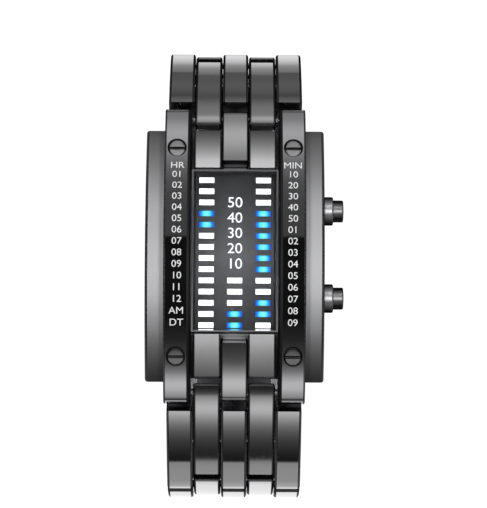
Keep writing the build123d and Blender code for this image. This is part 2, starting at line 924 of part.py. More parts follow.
outer_columns = (-outer_end, -centre_edge, outer_start)
inner_columns = (-inner_end, inner_start)
cross_bore_radius = cross_pin_radius + seat_clearance


def make_link(name, near, far, side):
    """One link between two pin places; side is 1 above the dial and -1 below it."""
    chord = (0, far[0] - near[0], far[1] - near[1])
    plane = Plane(origin=(0, near[0], near[1]), x_dir=chord, z_dir=(side, 0, 0))
    outer_bars = link_bars(
        plane, outer_columns, outer_bar_width, eye_radius, 1, hinge_pin_radius + seat_clearance
    )
    finish(outer_bars, f"{name}_outer_bars")
    inner_bars = link_bars(
        plane, inner_columns, inner_bar_width, nose_radius, -1, hinge_pin_radius + running_clearance
    )
    finish(inner_bars, f"{name}_inner_bars")
    pin_end = outer_end - pin_end_inset
    pin_places = (((link_pitch, 0), hinge_pin_radius), ((link_pitch / 2, link_arch), cross_pin_radius))
    with BuildPart() as pins:
        for place, radius in pin_places:
            with BuildSketch(plane.offset(-pin_end)) as round_pin:
                with Locations(place):
                    Circle(radius)
            extrude(round_pin.sketch, amount=2 * pin_end)
    finish(pins, f"{name}_pins")


for number in range(len(upper_pins) - 1):
    make_link(f"upper_link_{number + 1}", upper_pins[number], upper_pins[number + 1], 1)
for number in range(len(lower_pins) - 1):
    make_link(f"lower_link_{number + 1}", lower_pins[number], lower_pins[number + 1], -1)

# Clasp cover: a shallow channel hinged on the last upper link, with knuckles for the middle blade
cover_bottom = clasp_z - clasp_drop
cover_floor = cover_bottom + clasp_floor
cover_start = fold_pin[0] - knuckle_radius - cover_end_margin
cover_end = clasp_y + cover_end_margin
cover_middle = (cover_start + cover_end) / 2
wall_end = clasp_y - eye_radius - clasp_end_gap
knuckle_inner = centre_knuckle_width / 2 + knuckle_gap
knuckle_outer = blade_width / 2
knuckle_bore_end = knuckle_outer + cut_overrun
fold_knuckle = (fold_pin[0], fold_pin[1])
with BuildPart() as clasp_cover:
    block(
        2 * outer_end,
        cover_end - cover_start,
        cover_bottom,
        cover_floor,
        centre=(0, cover_middle),
    )
    chamfer(clasp_cover.faces().sort_by(Axis.Z)[0].edges(), clasp_edge_bevel)
    for x in (-(outer_end - clasp_wall / 2), outer_end - clasp_wall / 2):
        block(
            clasp_wall,
            wall_end - cover_start,
            cover_bottom + clasp_edge_bevel,
            clasp_z + clasp_wall_rise,
            centre=(x, (cover_start + wall_end) / 2),
        )
    # Lugs at the hinge with the bracelet, standing between the link's bars
    for start in inner_columns:
        round_bar((clasp_y, clasp_z), nose_radius, start, start + inner_bar_width)
        block(
            inner_bar_width,
            2 * nose_radius,
            cover_bottom + clasp_edge_bevel,
            clasp_z,
            centre=(start + inner_bar_width / 2, clasp_y),
        )
    # Two knuckles at the other end for the fold pin
    for start in (-knuckle_outer, knuckle_inner):
        round_bar(fold_knuckle, knuckle_radius, start, start + knuckle_outer - knuckle_inner)
        block(
            knuckle_outer - knuckle_inner,
            2 * knuckle_radius,
            cover_floor - clasp_floor / 2,
            fold_pin[1],
            centre=(start + (knuckle_outer - knuckle_inner) / 2, fold_pin[0]),
        )
    round_bar(
        (clasp_y, clasp_z),
        hinge_pin_radius + running_clearance,
        -outer_start,
        outer_start,
        Mode.SUBTRACT,
    )
    round_bar(
        fold_knuckle,
        clasp_pin_radius + seat_clearance,
        -knuckle_bore_end,
        knuckle_bore_end,
        Mode.SUBTRACT,
    )
finish(clasp_cover, "clasp_cover")

# Blades: flat spring strips that fold up inside the cover
half_blade = blade_thickness / 2
blade_root = knuckle_radius + knuckle_gap
with BuildPart() as clasp_middle_blade:
    middle_level = fold_pin[1]
    block(
        blade_width,
        blade_pin[0] - fold_pin[0] - 2 * blade_root,
        middle_level - half_blade,
        middle_level + half_blade,
        centre=(0, (fold_pin[0] + blade_pin[0]) / 2),
    )
    block(
        centre_knuckle_width,
        blade_root + half_blade,
        middle_level - half_blade,
        middle_level + half_blade,
        centre=(0, fold_pin[0] + (blade_root + half_blade) / 2),
    )
    round_bar(fold_pin, knuckle_radius, -centre_knuckle_width / 2, centre_knuckle_width / 2)
    for start in (-knuckle_outer, knuckle_inner):
        tab_width = knuckle_outer - knuckle_inner
        block(
            tab_width,
            blade_root + half_blade,
            middle_level - half_blade,
            middle_level + half_blade,
            centre=(start + tab_width / 2, blade_pin[0] - (blade_root + half_blade) / 2),
        )
        round_bar(blade_pin, knuckle_radius, start, start + tab_width)
    for place, clearance in ((fold_pin, running_clearance), (blade_pin, seat_clearance)):
        round_bar(
            place,
            clasp_pin_radius + clearance,
            -knuckle_bore_end,
            knuckle_bore_end,
            Mode.SUBTRACT,
        )
finish(clasp_middle_blade, "clasp_middle_blade")

with BuildPart() as clasp_inner_blade:
    inner_level = clasp_z
    strip_start = clasp_far_y + eye_radius + end_gap
    strip_end = blade_pin[0] - blade_root
    block(
        blade_width,
        strip_end - strip_start,
        inner_level - half_blade,
        inner_level + half_blade,
        centre=(0, (strip_start + strip_end) / 2),
    )
    block(
        centre_knuckle_width,
        blade_root + half_blade,
        inner_level - half_blade,
        inner_level + half_blade,
        centre=(0, blade_pin[0] - (blade_root + half_blade) / 2),
    )
    round_bar(blade_pin, knuckle_radius, -centre_knuckle_width / 2, centre_knuckle_width / 2)
    for start in inner_columns:
        block(
            inner_bar_width,
            strip_start - clasp_far_y,
            inner_level - half_blade,
            inner_level + half_blade,
            centre=(start + inner_bar_width / 2, (strip_start + clasp_far_y) / 2),
        )
        round_bar((clasp_far_y, clasp_z), nose_radius, start, start + inner_bar_width)
    round_bar(
        blade_pin,
        clasp_pin_radius + open_pivot_clearance,
        -knuckle_bore_end,
        knuckle_bore_end,
        Mode.SUBTRACT,
    )
    round_bar(
        (clasp_far_y, clasp_z),
        hinge_pin_radius + running_clearance,
        -outer_start,
        outer_start,
        Mode.SUBTRACT,
    )
finish(clasp_inner_blade, "clasp_inner_blade")

for place, name in ((fold_pin, "clasp_fold_pin"), (blade_pin, "clasp_blade_pin")):
    with BuildPart() as clasp_pin:
        round_bar(place, clasp_pin_radius, pin_end_inset - knuckle_outer, knuckle_outer - pin_end_inset)
    finish(clasp_pin, name)
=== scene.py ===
# %% [markdown]
# A binary watch: rows of small windows light up for the hours and the minutes. Its steel case and
# bracelet are packed as exact solids, which give every size and every hinge. This lesson dresses
# them: smooth metal with brushed faces and edges painted dark as shade, lit windows, printed marks
# and glass.

# %% Load the imported watch
import json
from math import asin, cos, pi, radians, sin, sqrt

import bmesh
import bpy
from mathutils import Matrix, Vector


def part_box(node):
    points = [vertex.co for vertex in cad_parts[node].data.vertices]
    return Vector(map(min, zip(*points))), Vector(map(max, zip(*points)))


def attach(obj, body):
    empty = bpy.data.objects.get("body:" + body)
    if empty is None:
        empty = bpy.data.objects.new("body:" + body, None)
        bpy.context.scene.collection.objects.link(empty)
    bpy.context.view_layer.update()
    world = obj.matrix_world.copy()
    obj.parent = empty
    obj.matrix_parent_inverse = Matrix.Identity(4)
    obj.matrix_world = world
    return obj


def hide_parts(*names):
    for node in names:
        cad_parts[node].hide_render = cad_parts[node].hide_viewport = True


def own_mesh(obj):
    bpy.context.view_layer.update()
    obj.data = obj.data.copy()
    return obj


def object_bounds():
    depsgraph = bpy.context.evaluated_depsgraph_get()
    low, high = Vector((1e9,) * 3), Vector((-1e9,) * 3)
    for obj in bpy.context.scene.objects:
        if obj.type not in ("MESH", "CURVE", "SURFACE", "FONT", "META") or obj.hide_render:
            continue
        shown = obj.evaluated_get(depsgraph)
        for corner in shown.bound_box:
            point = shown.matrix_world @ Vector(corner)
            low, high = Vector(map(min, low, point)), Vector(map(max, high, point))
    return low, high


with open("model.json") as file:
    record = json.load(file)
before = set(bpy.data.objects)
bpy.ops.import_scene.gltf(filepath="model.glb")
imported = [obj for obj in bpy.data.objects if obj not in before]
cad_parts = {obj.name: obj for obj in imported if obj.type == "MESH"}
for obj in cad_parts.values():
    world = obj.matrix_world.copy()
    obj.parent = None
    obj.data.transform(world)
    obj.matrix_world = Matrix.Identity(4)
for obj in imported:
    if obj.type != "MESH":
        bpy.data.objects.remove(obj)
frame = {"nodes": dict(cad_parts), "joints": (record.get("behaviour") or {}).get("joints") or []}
nodes = frame["nodes"]
cad_box = [list(corner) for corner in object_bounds()]
print("solids' box in mm:", [[round(1000 * v, 2) for v in corner] for corner in cad_box])

# %% [markdown]
# The sizes below are the ones that the watch was drawn with. They are in millimetres, and turned
# into Blender's metres by one factor. The case, its two long scale bars and all the lugs lie on
# arcs about one centre, far below the dial.

# %% Sizes of the case
mm = 0.001
crown_height = 12.7
bar_arc_radius = 46.5
shoulder_drop = 3.5
case_half_width = 16.65
case_half_length = 23.7
core_half_length = 23.0
case_bottom = 0.6
case_foot_bevel = 1.2
eye_radius = 2.2
nose_radius = 1.7
lug_pin_y = 25.6
fit = 0.02
case_centre = (0, crown_height - bar_arc_radius)
case_arc_radius = bar_arc_radius - shoulder_drop
lug_arc_radius = bar_arc_radius - eye_radius
lug_pin_turn = asin(lug_pin_y / lug_arc_radius)
halves = (("upper", 1), ("lower", -1))
print("arcs about:", case_centre)

# %% Columns of the bracelet
outer_bar_width = 4.85
inner_bar_width = 5.05
bar_gap = 0.13
centre_edge = outer_bar_width / 2
column_spacing = outer_bar_width + inner_bar_width + 2 * bar_gap
link_pitch = 20.3
link_arch = 1.2
end_gap = 0.55
hinge_pin_radius = 0.6
cross_pin_radius = 0.5
bar_bevel = 0.45
print("bars of one kind are apart by:", column_spacing)

# %% [markdown]
# Every bar, lug and rail of this watch is a side view pushed out along X, with its rims bevelled.
# A side view is a closed line of points, so one helper walks round arcs and another pushes the
# line out. Each face carries a flag that tells the plain faces from the bevels, because the bevels
# get a near-black steel, which is painted shade on the rims.

# %% Arcs and outlines
up = pi / 2
arc_step = radians(0.4)
nose_step = radians(5)


def polar(centre, radius, turn):
    """The point at a distance from a centre, in the direction of an angle."""
    return (centre[0] + radius * cos(turn), centre[1] + radius * sin(turn))


def arc(centre, radius, start, end, step=arc_step):
    """Points on an arc about a centre, from one angle to another, both ends counted."""
    count = max(3, int(abs(end - start) / step) + 1)
    return [polar(centre, radius, start + (end - start) * k / (count - 1)) for k in range(count)]


# %% Clean an outline and move it inwards
same_place = 1e-6


def pairs(ring):
    """Each entry of a closed line with the next one, and the last with the first."""
    return list(zip(ring, ring[1:] + ring[:1]))


def apart(a, b):
    """Distance between two points, along the axes."""
    return abs(a[0] - b[0]) + abs(a[1] - b[1])


def cleaned(points):
    """The outline without points that repeat the one before, and turning anticlockwise."""
    kept = points[:1]
    for point in points[1:]:
        if apart(point, kept[-1]) > same_place:
            kept.append(point)
    if apart(kept[0], kept[-1]) < same_place:
        kept.pop()
    area = sum(a[0] * b[1] - b[0] * a[1] for a, b in pairs(kept))
    return kept if area > 0 else kept[::-1]


def inset(points, distance):
    """The outline moved inwards by a distance, with mitred corners."""
    moved = []
    for before, here, after in zip(points[-1:] + points[:-1], points, points[1:] + points[:1]):
        first = Vector((here[0] - before[0], here[1] - before[1])).normalized()
        second = Vector((after[0] - here[0], after[1] - here[1])).normalized()
        share = 1 + first.dot(second)
        across = -first.y - second.y
        along = first.x + second.x
        moved.append((here[0] + distance * across / share, here[1] + distance * along / share))
    return moved


# %% Turn a bmesh into an object with crisp edges
crisp_angle = 28


def new_object(name, data):
    """An object in the scene that shows the data."""
    thing = bpy.data.objects.new(name, data)
    bpy.context.scene.collection.objects.link(thing)
    return thing


def as_object(mesh, name, crisp=crisp_angle):
    """Link the mesh to the scene, outwards, smooth within faces and crisp between them."""
    bmesh.ops.recalc_face_normals(mesh, faces=mesh.faces)
    data = bpy.data.meshes.new(name)
    mesh.to_mesh(data)
    mesh.free()
    crisp_edges(data, crisp)
    return new_object(name, data)


def crisp_edges(data, crisp=crisp_angle):
    """Smooth shading, with sharp edges past an angle and where the faces' flags change."""
    data.polygons.foreach_set("use_smooth", [True] * len(data.polygons))
    data.set_sharp_from_angle(angle=radians(crisp))
    if data.attributes.get("polished") is None:
        return
    sharp = data.attributes.get("sharp_edge") or data.attributes.new("sharp_edge", "BOOLEAN", "EDGE")
    flags = data.attributes["polished"].data
    seen = {}
    for polygon in data.polygons:
        for edge in polygon.edge_keys:
            seen.setdefault(edge, set()).add(flags[polygon.index].value)
    for edge in data.edges:
        if len(seen.get(edge.key, ())) > 1:
            sharp.data[edge.index].value = True


# %% Faces between rings of vertices
def join_rings(mesh, near, far):
    """A band of quads between two closed rings of vertices. Returns its faces."""
    return [mesh.faces.new((a, b, d, c)) for (a, b), (c, d) in zip(pairs(near), pairs(far))]


def skin(mesh, rings, closed=False):
    """Faces over a run of rings: a tube that closes on itself, or one with a face at each end."""
    for near, far in pairs(rings) if closed else zip(rings, rings[1:]):
        join_rings(mesh, near, far)
    if not closed:
        mesh.faces.new(rings[0])
        mesh.faces.new(rings[-1])


# %% Push an outline out along X
bevel_steps = 3
bore_sides = 48


def bevel_rings(x, size, side):
    """Places across and insets of the rings that round one rim; side is 1 at the low end of X."""
    if size <= 0:
        return [(x, 0.0)]
    turns = [pi / 2 * k / bevel_steps for k in range(bevel_steps + 1)]
    return [(x + side * size * (1 - cos(t)), size * (1 - sin(t))) for t in turns]


def ring_at(mesh, x, points):
    """Vertices at one place across for the points of a side view."""
    return [mesh.verts.new((x * mm, y * mm, z * mm)) for y, z in points]


def slab(name, outline, x_low, x_high, low_bevel=0, high_bevel=0, holes=()):
    """A closed solid: the outline pushed out from x_low to x_high, with rounded rims and bores."""
    points = cleaned(outline)
    places = bevel_rings(x_low, low_bevel, 1) + bevel_rings(x_high, high_bevel, -1)[::-1]
    mesh = bmesh.new()
    # The flag called polished marks the faces that get the near-black steel of painted shade.
    polished = mesh.faces.layers.int.new("polished")
    rings = [ring_at(mesh, x, inset(points, distance)) for x, distance in places]
    for k in range(len(rings) - 1):
        for face in join_rings(mesh, rings[k], rings[k + 1]):
            face[polished] = int(places[k][1] != places[k + 1][1])
    bores = []
    for (x, _), ring in ((places[0], rings[0]), (places[-1], rings[-1])):
        edges = [mesh.edges.get(ends) for ends in pairs(ring)]
        for y, z, radius in holes:
            turns = [2 * pi * k / bore_sides for k in range(bore_sides)]
            bores.append(ring_at(mesh, x, [polar((y, z), radius, t) for t in turns]))
            edges += [mesh.edges.new(ends) for ends in pairs(bores[-1])]
        bmesh.ops.triangle_fill(mesh, use_beauty=True, use_dissolve=False, edges=edges)
    for near, far in zip(bores[:len(holes)], bores[len(holes):]):
        join_rings(mesh, near, far)
    return as_object(mesh, name)


# %% Turned pieces
turned_sides = 96
rim_steps = 4


def lathe(name, profile, centre, axis="X", bored=False):
    """A turned piece about an axis through centre; the profile is (place along, radius) pairs.

    A bored piece is a ring: its profile goes out along the outside and comes back along the bore.
    """
    mesh = bmesh.new()
    rings = []
    for along, radius in profile:
        ring = []
        for k in range(turned_sides):
            a, b = polar((0, 0), radius, 2 * pi * k / turned_sides)
            place = (along, a, b) if axis == "X" else (a, b, along)
            ring.append(mesh.verts.new([(p + c) * mm for p, c in zip(place, centre)]))
        rings.append(ring)
    skin(mesh, rings, bored)
    return as_object(mesh, name)


def softened(end, radius, size):
    """The rounded rim of a turned piece that ends at a place, as (place, radius) pairs."""
    turns = [pi / 2 * k / rim_steps for k in range(rim_steps + 1)]
    return [(end - size * (1 - cos(t)), radius - size * (1 - sin(t))) for t in turns[::-1]]


# %% Cut one solid out of another
def baked(piece):
    """Replace the piece's mesh with what its modifiers make of it, and drop them."""
    bpy.context.view_layer.update()
    graph = bpy.context.evaluated_depsgraph_get()
    seen = piece.evaluated_get(graph)
    data = bpy.data.meshes.new_from_object(seen, preserve_all_data_layers=True, depsgraph=graph)
    piece.modifiers.clear()
    old = piece.data
    piece.data = data
    bpy.data.meshes.remove(old)
    data.name = piece.name
    return piece


def cut_out(piece, cutters):
    """Take the cutters' space out of the piece, and leave it a plain mesh."""
    for cutter in cutters:
        change = piece.modifiers.new("cut", "BOOLEAN")
        change.operation = "DIFFERENCE"
        change.solver = "EXACT"
        change.object = cutter
    baked(piece)
    for cutter in cutters:
        bpy.data.objects.remove(cutter)
    crisp_edges(piece.data)


def brick(low, high):
    """A plain block between two corners, in mm, for cutting with."""
    mesh = bmesh.new()
    bmesh.ops.create_cube(mesh, size=1)
    for v in mesh.verts:
        v.co = Vector([(l if c < 0 else h) * mm for c, l, h in zip(v.co, low, high)])
    return as_object(mesh, "brick")


# %% Give a piece its finish and its body
def dress(piece, body, slot, replaced, *materials):
    """Give the piece its materials, its body and the solids that it stands for."""
    if materials:
        piece.data.materials.clear()
        for material in materials:
            piece.data.materials.append(material)
    flags = piece.data.attributes.get("polished")
    if flags is not None and len(materials) > 1:
        for polygon in piece.data.polygons:
            polygon.material_index = flags.data[polygon.index].value
    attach(piece, body)
    if replaced:
        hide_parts(*replaced)
    faces = len(piece.data.polygons)
    print(f"{piece.name}: {faces} faces on {body}, stands for {len(replaced)} solids")


# %% [markdown]
# Materials here are built from nodes in code. A few helpers keep that short: one makes a node with
# its settings and joins or fills its inputs, and the others make the kinds of node that most
# materials of this watch need.

# %% Helpers for nodes
def set_inputs(tree, node, inputs):
    """Fill a node's inputs: a socket is joined to its input, anything else is its value."""
    for name, value in inputs.items():
        if isinstance(value, bpy.types.NodeSocket):
            tree.links.new(value, node.inputs[name])
        else:
            node.inputs[name].default_value = value


def add_node(tree, kind, inputs=None, **settings):
    """A node with its settings and its inputs."""
    node = tree.nodes.new(kind)
    for name, value in settings.items():
        setattr(node, name, value)
    set_inputs(tree, node, inputs or {})
    return node


def math_node(tree, operation, a, b=0.5, clamp=False):
    """A Math node on sockets or numbers. Returns its value."""
    return add_node(tree, "ShaderNodeMath", {0: a, 1: b}, operation=operation, use_clamp=clamp).outputs[0]


def map_range(tree, value, low, high, to_low=0, to_high=1):
    """A clamped Map Range node on a socket. Returns its value."""
    inputs = dict(enumerate((value, low, high, to_low, to_high)))
    return add_node(tree, "ShaderNodeMapRange", inputs).outputs[0]


# %% Places, noise and colours
def object_place(tree):
    """The place on the object, which doesn't move when the watch is opened."""
    return add_node(tree, "ShaderNodeTexCoord").outputs["Object"]


def axes_of(tree, vector):
    """The X, Y and Z of a vector."""
    return add_node(tree, "ShaderNodeSeparateXYZ", {0: vector}).outputs


def noise_node(tree, place, scale, detail=2.0, rough=0.5):
    """Noise at a place. Returns its value."""
    inputs = {"Vector": place, "Scale": scale, "Detail": detail, "Roughness": rough}
    return add_node(tree, "ShaderNodeTexNoise", inputs).outputs["Fac"]


def mix_colors(tree, factor, a, b):
    """A colour between a and b. Returns it."""
    inputs = {"Factor": factor, "A": a, "B": b}
    return add_node(tree, "ShaderNodeMix", inputs, data_type="RGBA").outputs["Result"]


def color_ramp(tree, value, stops):
    """A Color Ramp with (place, colour) stops. Returns its colour."""
    node = add_node(tree, "ShaderNodeValToRGB", {0: value})
    elements = node.color_ramp.elements
    while len(elements) < len(stops):
        elements.new(0.5)
    for element, (place, color) in zip(elements, stops):
        element.position = place
        element.color = color
    return node.outputs[0]


def grey(level):
    """An opaque grey."""
    return (level, level, level, 1)


def bump_node(tree, height, depth):
    """Bumps of a depth in mm. Returns the normal that they give."""
    return add_node(tree, "ShaderNodeBump", {"Height": height, "Distance": depth * mm}).outputs["Normal"]


# %% Groups and materials
def make_group(name, kind, inputs, outputs):
    """A node group. Returns it with the sockets inside at its start and its end.

    An input is (title, kind of socket) and may have a starting value; an output is (title, kind).
    """
    tree = bpy.data.node_groups.new(name, kind)
    for title, socket_kind, *start in inputs:
        socket = tree.interface.new_socket(title, in_out="INPUT", socket_type=f"NodeSocket{socket_kind}")
        if start:
            socket.default_value = start[0]
    for title, socket_kind in outputs:
        tree.interface.new_socket(title, in_out="OUTPUT", socket_type=f"NodeSocket{socket_kind}")
    return tree, tree.nodes.new("NodeGroupInput").outputs, tree.nodes.new("NodeGroupOutput")


def new_material(name):
    """A node material. Returns it with its tree and its main shader."""
    material = bpy.data.materials.new(name)
    material.use_nodes = True
    return material, material.node_tree, material.node_tree.nodes["Principled BSDF"]


# %% [markdown]
# Brushed steel has fine lines along the bar and soft reflections across them. Noise that is
# stretched along the bar gives the lines. All bars of this watch run in planes of Y and Z, so the
# noise changes fast along X and slowly along the other two, whatever way a link points. The
# same lines serve every steel here, so they are a node group with named inputs.

# %% Brushing as a node group
default_lines = 14.0
default_stretch = 40.0
handling_marks_per_mm = 0.16


def make_brushing():
    """Fine lines along the bars, and slow handling marks over them."""
    inputs = (("Lines per mm", "Float", default_lines), ("Stretch", "Float", default_stretch))
    outputs = (("Lines", "Float"), ("Handling", "Float"))
    tree, inside, outside = make_group("brushing", "ShaderNodeTree", inputs, outputs)
    place = object_place(tree)
    across = math_node(tree, "MULTIPLY", inside["Lines per mm"], 1 / mm)
    along = math_node(tree, "DIVIDE", across, inside["Stretch"])
    scales = add_node(tree, "ShaderNodeCombineXYZ", {0: across, 1: along, 2: along}).outputs[0]
    scaled = add_node(tree, "ShaderNodeVectorMath", {0: place, 1: scales}, operation="MULTIPLY").outputs[0]
    set_inputs(tree, outside, {
        "Lines": noise_node(tree, scaled, 1.0, 3.0, 0.6),
        "Handling": noise_node(tree, place, handling_marks_per_mm / mm, 5.0),
    })
    return tree


brushing = make_brushing()
print("brushing group:", [item.name for item in brushing.interface.items_tree])

# %% [markdown]
# A steel is this group and one shader. The lines lift the surface a little and vary how rough it
# is, and the handling marks change its tone in patches. The same function makes each steel, from
# satin to polished, with its own numbers.

# %% Steels
noise_low, noise_high = 0.3, 0.7
lines_share, handling_share = 0.7, 0.3
tone_shares = (0.90, 1.08)


def make_steel(name, tone, rough, spread, depth, lines=default_lines, stretch=default_stretch):
    """A steel: its colour, its roughness and how that varies, and its lines' depth in mm."""
    material, tree, shader = new_material(name)
    values = {"Lines per mm": lines, "Stretch": stretch}
    brush = add_node(tree, "ShaderNodeGroup", values, node_tree=brushing)
    brushed = math_node(tree, "MULTIPLY", brush.outputs["Lines"], lines_share)
    handled = math_node(tree, "MULTIPLY", brush.outputs["Handling"], handling_share)
    both = math_node(tree, "ADD", brushed, handled)
    tones = [(*[min(1, c * share) for c in tone], 1) for share in tone_shares]
    set_inputs(tree, shader, {
        "Base Color": mix_colors(tree, both, *tones),
        "Roughness": map_range(tree, both, noise_low, noise_high, rough - spread, rough + spread),
        "Normal": bump_node(tree, brush.outputs["Lines"], depth),
        "Metallic": 1.0,
    })
    return material


fine = {"lines": 6, "stretch": 2}
turned = {"lines": 10, "stretch": 1}
link_steel = make_steel("polished link steel", (0.60, 0.60, 0.61), 0.05, 0.015, 0.0003)
inner_steel = make_steel("brushed link steel", (0.62, 0.62, 0.63), 0.11, 0.03, 0.0003)
block_steel = make_steel("brushed case steel", (0.74, 0.74, 0.75), 0.50, 0.05, 0.0006)
lug_steel = make_steel("polished lug steel", (0.66, 0.66, 0.67), 0.10, 0.03, 0.0003)
satin_steel = make_steel("satin shoulder steel", (0.50, 0.50, 0.51), 0.60, 0.05, 0.0006)
scale_steel = make_steel("polished scale steel", (0.60, 0.60, 0.62), 0.04, 0.015, 0.0003)
# Painted shade: bevels, rims and the cut ends of bars get this near-black steel.
edge_shade_steel = make_steel("dark edge steel", (0.10, 0.10, 0.105), 0.28, 0.04, 0.0002, **fine)
frame_steel = make_steel("satin frame steel", (0.11, 0.11, 0.115), 0.42, 0.05, 0.0002, **fine)
turned_steel = make_steel("turned steel", (0.20, 0.20, 0.205), 0.40, 0.03, 0.0001, **turned)
pusher_steel = make_steel("turned pusher steel", (0.42, 0.42, 0.43), 0.40, 0.03, 0.0001, **turned)
screw_steel = make_steel("turned screw steel", (0.22, 0.22, 0.225), 0.50, 0.03, 0.0001, **turned)
# Painted shade: the scale bars' inner rims, the screw recesses and the screw slots get this near-black
# steel.
deep_shade_steel = make_steel("sawn slot steel", (0.03, 0.03, 0.03), 0.50, 0.03, 0.0001, **turned)
clasp_steel = make_steel("brushed clasp steel", (0.38, 0.38, 0.385), 0.24, 0.06, 0.0006)
# Painted shade: the clasp blades, seen in the gap below the lower end blocks, get a near-black steel.
shaded_blade_steel = make_steel("dark blade steel", (0.09, 0.09, 0.095), 0.42, 0.06, 0.0004, lines=10)
pin_steel = make_steel("ground pin steel", (0.60, 0.60, 0.60), 0.20, 0.05, 0.0003, lines=8, stretch=0.2)
print("steels:", [m.name for m in bpy.data.materials if "steel" in m.name])

# %% [markdown]
# The shoulders, end blocks, screws, pushers and mask look darker towards their edges, where a studio
# has less light to give, and the lower screws darker than the upper. A lamp for each would also light
# its neighbours, so this shade is painted: the tone itself fades with the distance from a middle line.
# The pushers and the near-black rims also get a dark tint in their grazing reflections, as painted shade.

# %% Painted shade across a piece
grazing_shade_tint = grey(0.15)


def shade_across(material, *fades):
    """Paint shade into a finish along an axis; a fade is (axis, middle, near, far, the share left at far).
    """
    tree = material.node_tree
    shader = tree.nodes["Principled BSDF"]
    toned = shader.inputs["Base Color"].links[0].from_socket
    axes = axes_of(tree, object_place(tree))
    for axis, middle, near, far, left in fades:
        away = math_node(tree, "ABSOLUTE", math_node(tree, "SUBTRACT", axes[axis], middle * mm))
        share = map_range(tree, away, near * mm, far * mm, 1.0, left)
        inputs = {0: toned, "Scale": share}
        toned = add_node(tree, "ShaderNodeVectorMath", inputs, operation="SCALE").outputs[0]
    set_inputs(tree, shader, {"Base Color": toned})
    print(material.name, "fades over", len(fades), "distances")


# Painted shade: end blocks and shoulders darker towards their ends, pushers below their top, the lower
# screws darker than the upper.
shade_across(block_steel, (1, 0, 17.0, 22.8, 0.4), (1, -3, 20, 25.8, 0.5))
shade_across(pusher_steel, (2, 6.9, 0.0, 1.2, 0.07))
shade_across(screw_steel, (1, 19.5, 3.0, 39.0, 0.45))
shade_across(satin_steel, (1, 0, 8.0, 24.0, 0.4), (1, 4, 18, 27, 0.4))
# Painted shade at grazing angles: a dark tint in the reflections of the pushers and the rims.
for dark in (pusher_steel, edge_shade_steel):
    dark.node_tree.nodes["Principled BSDF"].inputs["Specular Tint"].default_value = grazing_shade_tint

# %% [markdown]
# A link of this bracelet is five bars on one hinge pin. The three odd bars are thicker and end in
# a full round eye over the far pin, and the two even bars end in a smaller nose on the near pin.
# One bar of each kind is drawn, and a small node tree sets it out across the bracelet.

# %% Outline of a bar
arch_radius = ((link_pitch / 2) ** 2 + link_arch ** 2) / (2 * link_arch)
arch_centre = (link_pitch / 2, link_arch - arch_radius)
pin_turn = asin(link_pitch / 2 / arch_radius)
cut_turn = asin((link_pitch / 2 - eye_radius - end_gap) / arch_radius)
bend_radius = 9.0
bend_turn = radians(12)
bend_step = radians(1.5)
corner_radius = 0.45
corner_turn = radians(75)
corner_step = radians(8)
nose_turn = radians(95)


def outer_bar_outline(half):
    """An odd bar: cut straight before the near pin, and round about the far one."""
    pin = polar(arch_centre, arch_radius, up - pin_turn)
    points = arc(arch_centre, arch_radius + half, up + cut_turn, up - pin_turn)
    points += arc(pin, half, up - pin_turn, up - pin_turn - pi, nose_step)
    points += arc(arch_centre, arch_radius - half, up - pin_turn, up + cut_turn)
    return points, pin


def inner_bar_outline(half):
    """An even bar: past the near pin its back bends down a little and ends in a soft corner."""
    near = up + pin_turn
    pin = polar(arch_centre, arch_radius, near)
    points = arc(arch_centre, arch_radius - half, near, up - cut_turn)
    points += arc(arch_centre, arch_radius + half, up - cut_turn, near)
    bend = polar(pin, half - bend_radius, near)
    end = near + bend_turn
    points += arc(bend, bend_radius, near, end, bend_step)
    corner = polar(bend, bend_radius - corner_radius, end)
    points += arc(corner, corner_radius, end, end + corner_turn, corner_step)
    points += arc(pin, half, near + nose_turn, near + pi, nose_step)
    return points, pin


# %% Bars
inner_bore_clearance = 0.05
near_cut = 1.0
facing_share = 0.5


def make_bar(name, outline, pin, width, side, bore):
    """One bar, centred on X, with bores for its two pins; side is 1 for an odd bar, -1 for an even."""
    holes = ((*pin, bore), (link_pitch / 2, link_arch, cross_pin_radius + fit))
    bar = slab(name, outline, -width / 2, width / 2, bar_bevel, bar_bevel, holes)
    flags = bar.data.attributes["polished"].data
    # Painted shade: the faces at the cut towards the near pin, in the gap between links, are flagged for the
    # near-black steel.
    cut_place = eye_radius + end_gap if side > 0 else link_pitch - eye_radius - end_gap
    for polygon in bar.data.polygons:
        if side * polygon.normal.y < -facing_share and abs(polygon.center.y / mm - cut_place) < near_cut:
            flags[polygon.index].value = 1
    return bar


outer_outline, outer_pin = outer_bar_outline(eye_radius)
inner_outline, inner_pin = inner_bar_outline(nose_radius)
outer_bore = hinge_pin_radius + fit
inner_bore = hinge_pin_radius + inner_bore_clearance
outer_bar = make_bar("outer_bar", outer_outline, outer_pin, outer_bar_width, 1, outer_bore)
inner_bar = make_bar("inner_bar", inner_outline, inner_pin, inner_bar_width, -1, inner_bore)
print("bars:", len(outer_bar.data.polygons), "and", len(inner_bar.data.polygons), "faces")

# %% [markdown]
# What repeats is set out by Geometry Nodes. Two trees share one ending: copies of a piece go on
# points, become real geometry, and get one material for plain faces and one for flagged faces.
# They differ in where the points come from: a line across the bracelet, or a mesh of points.

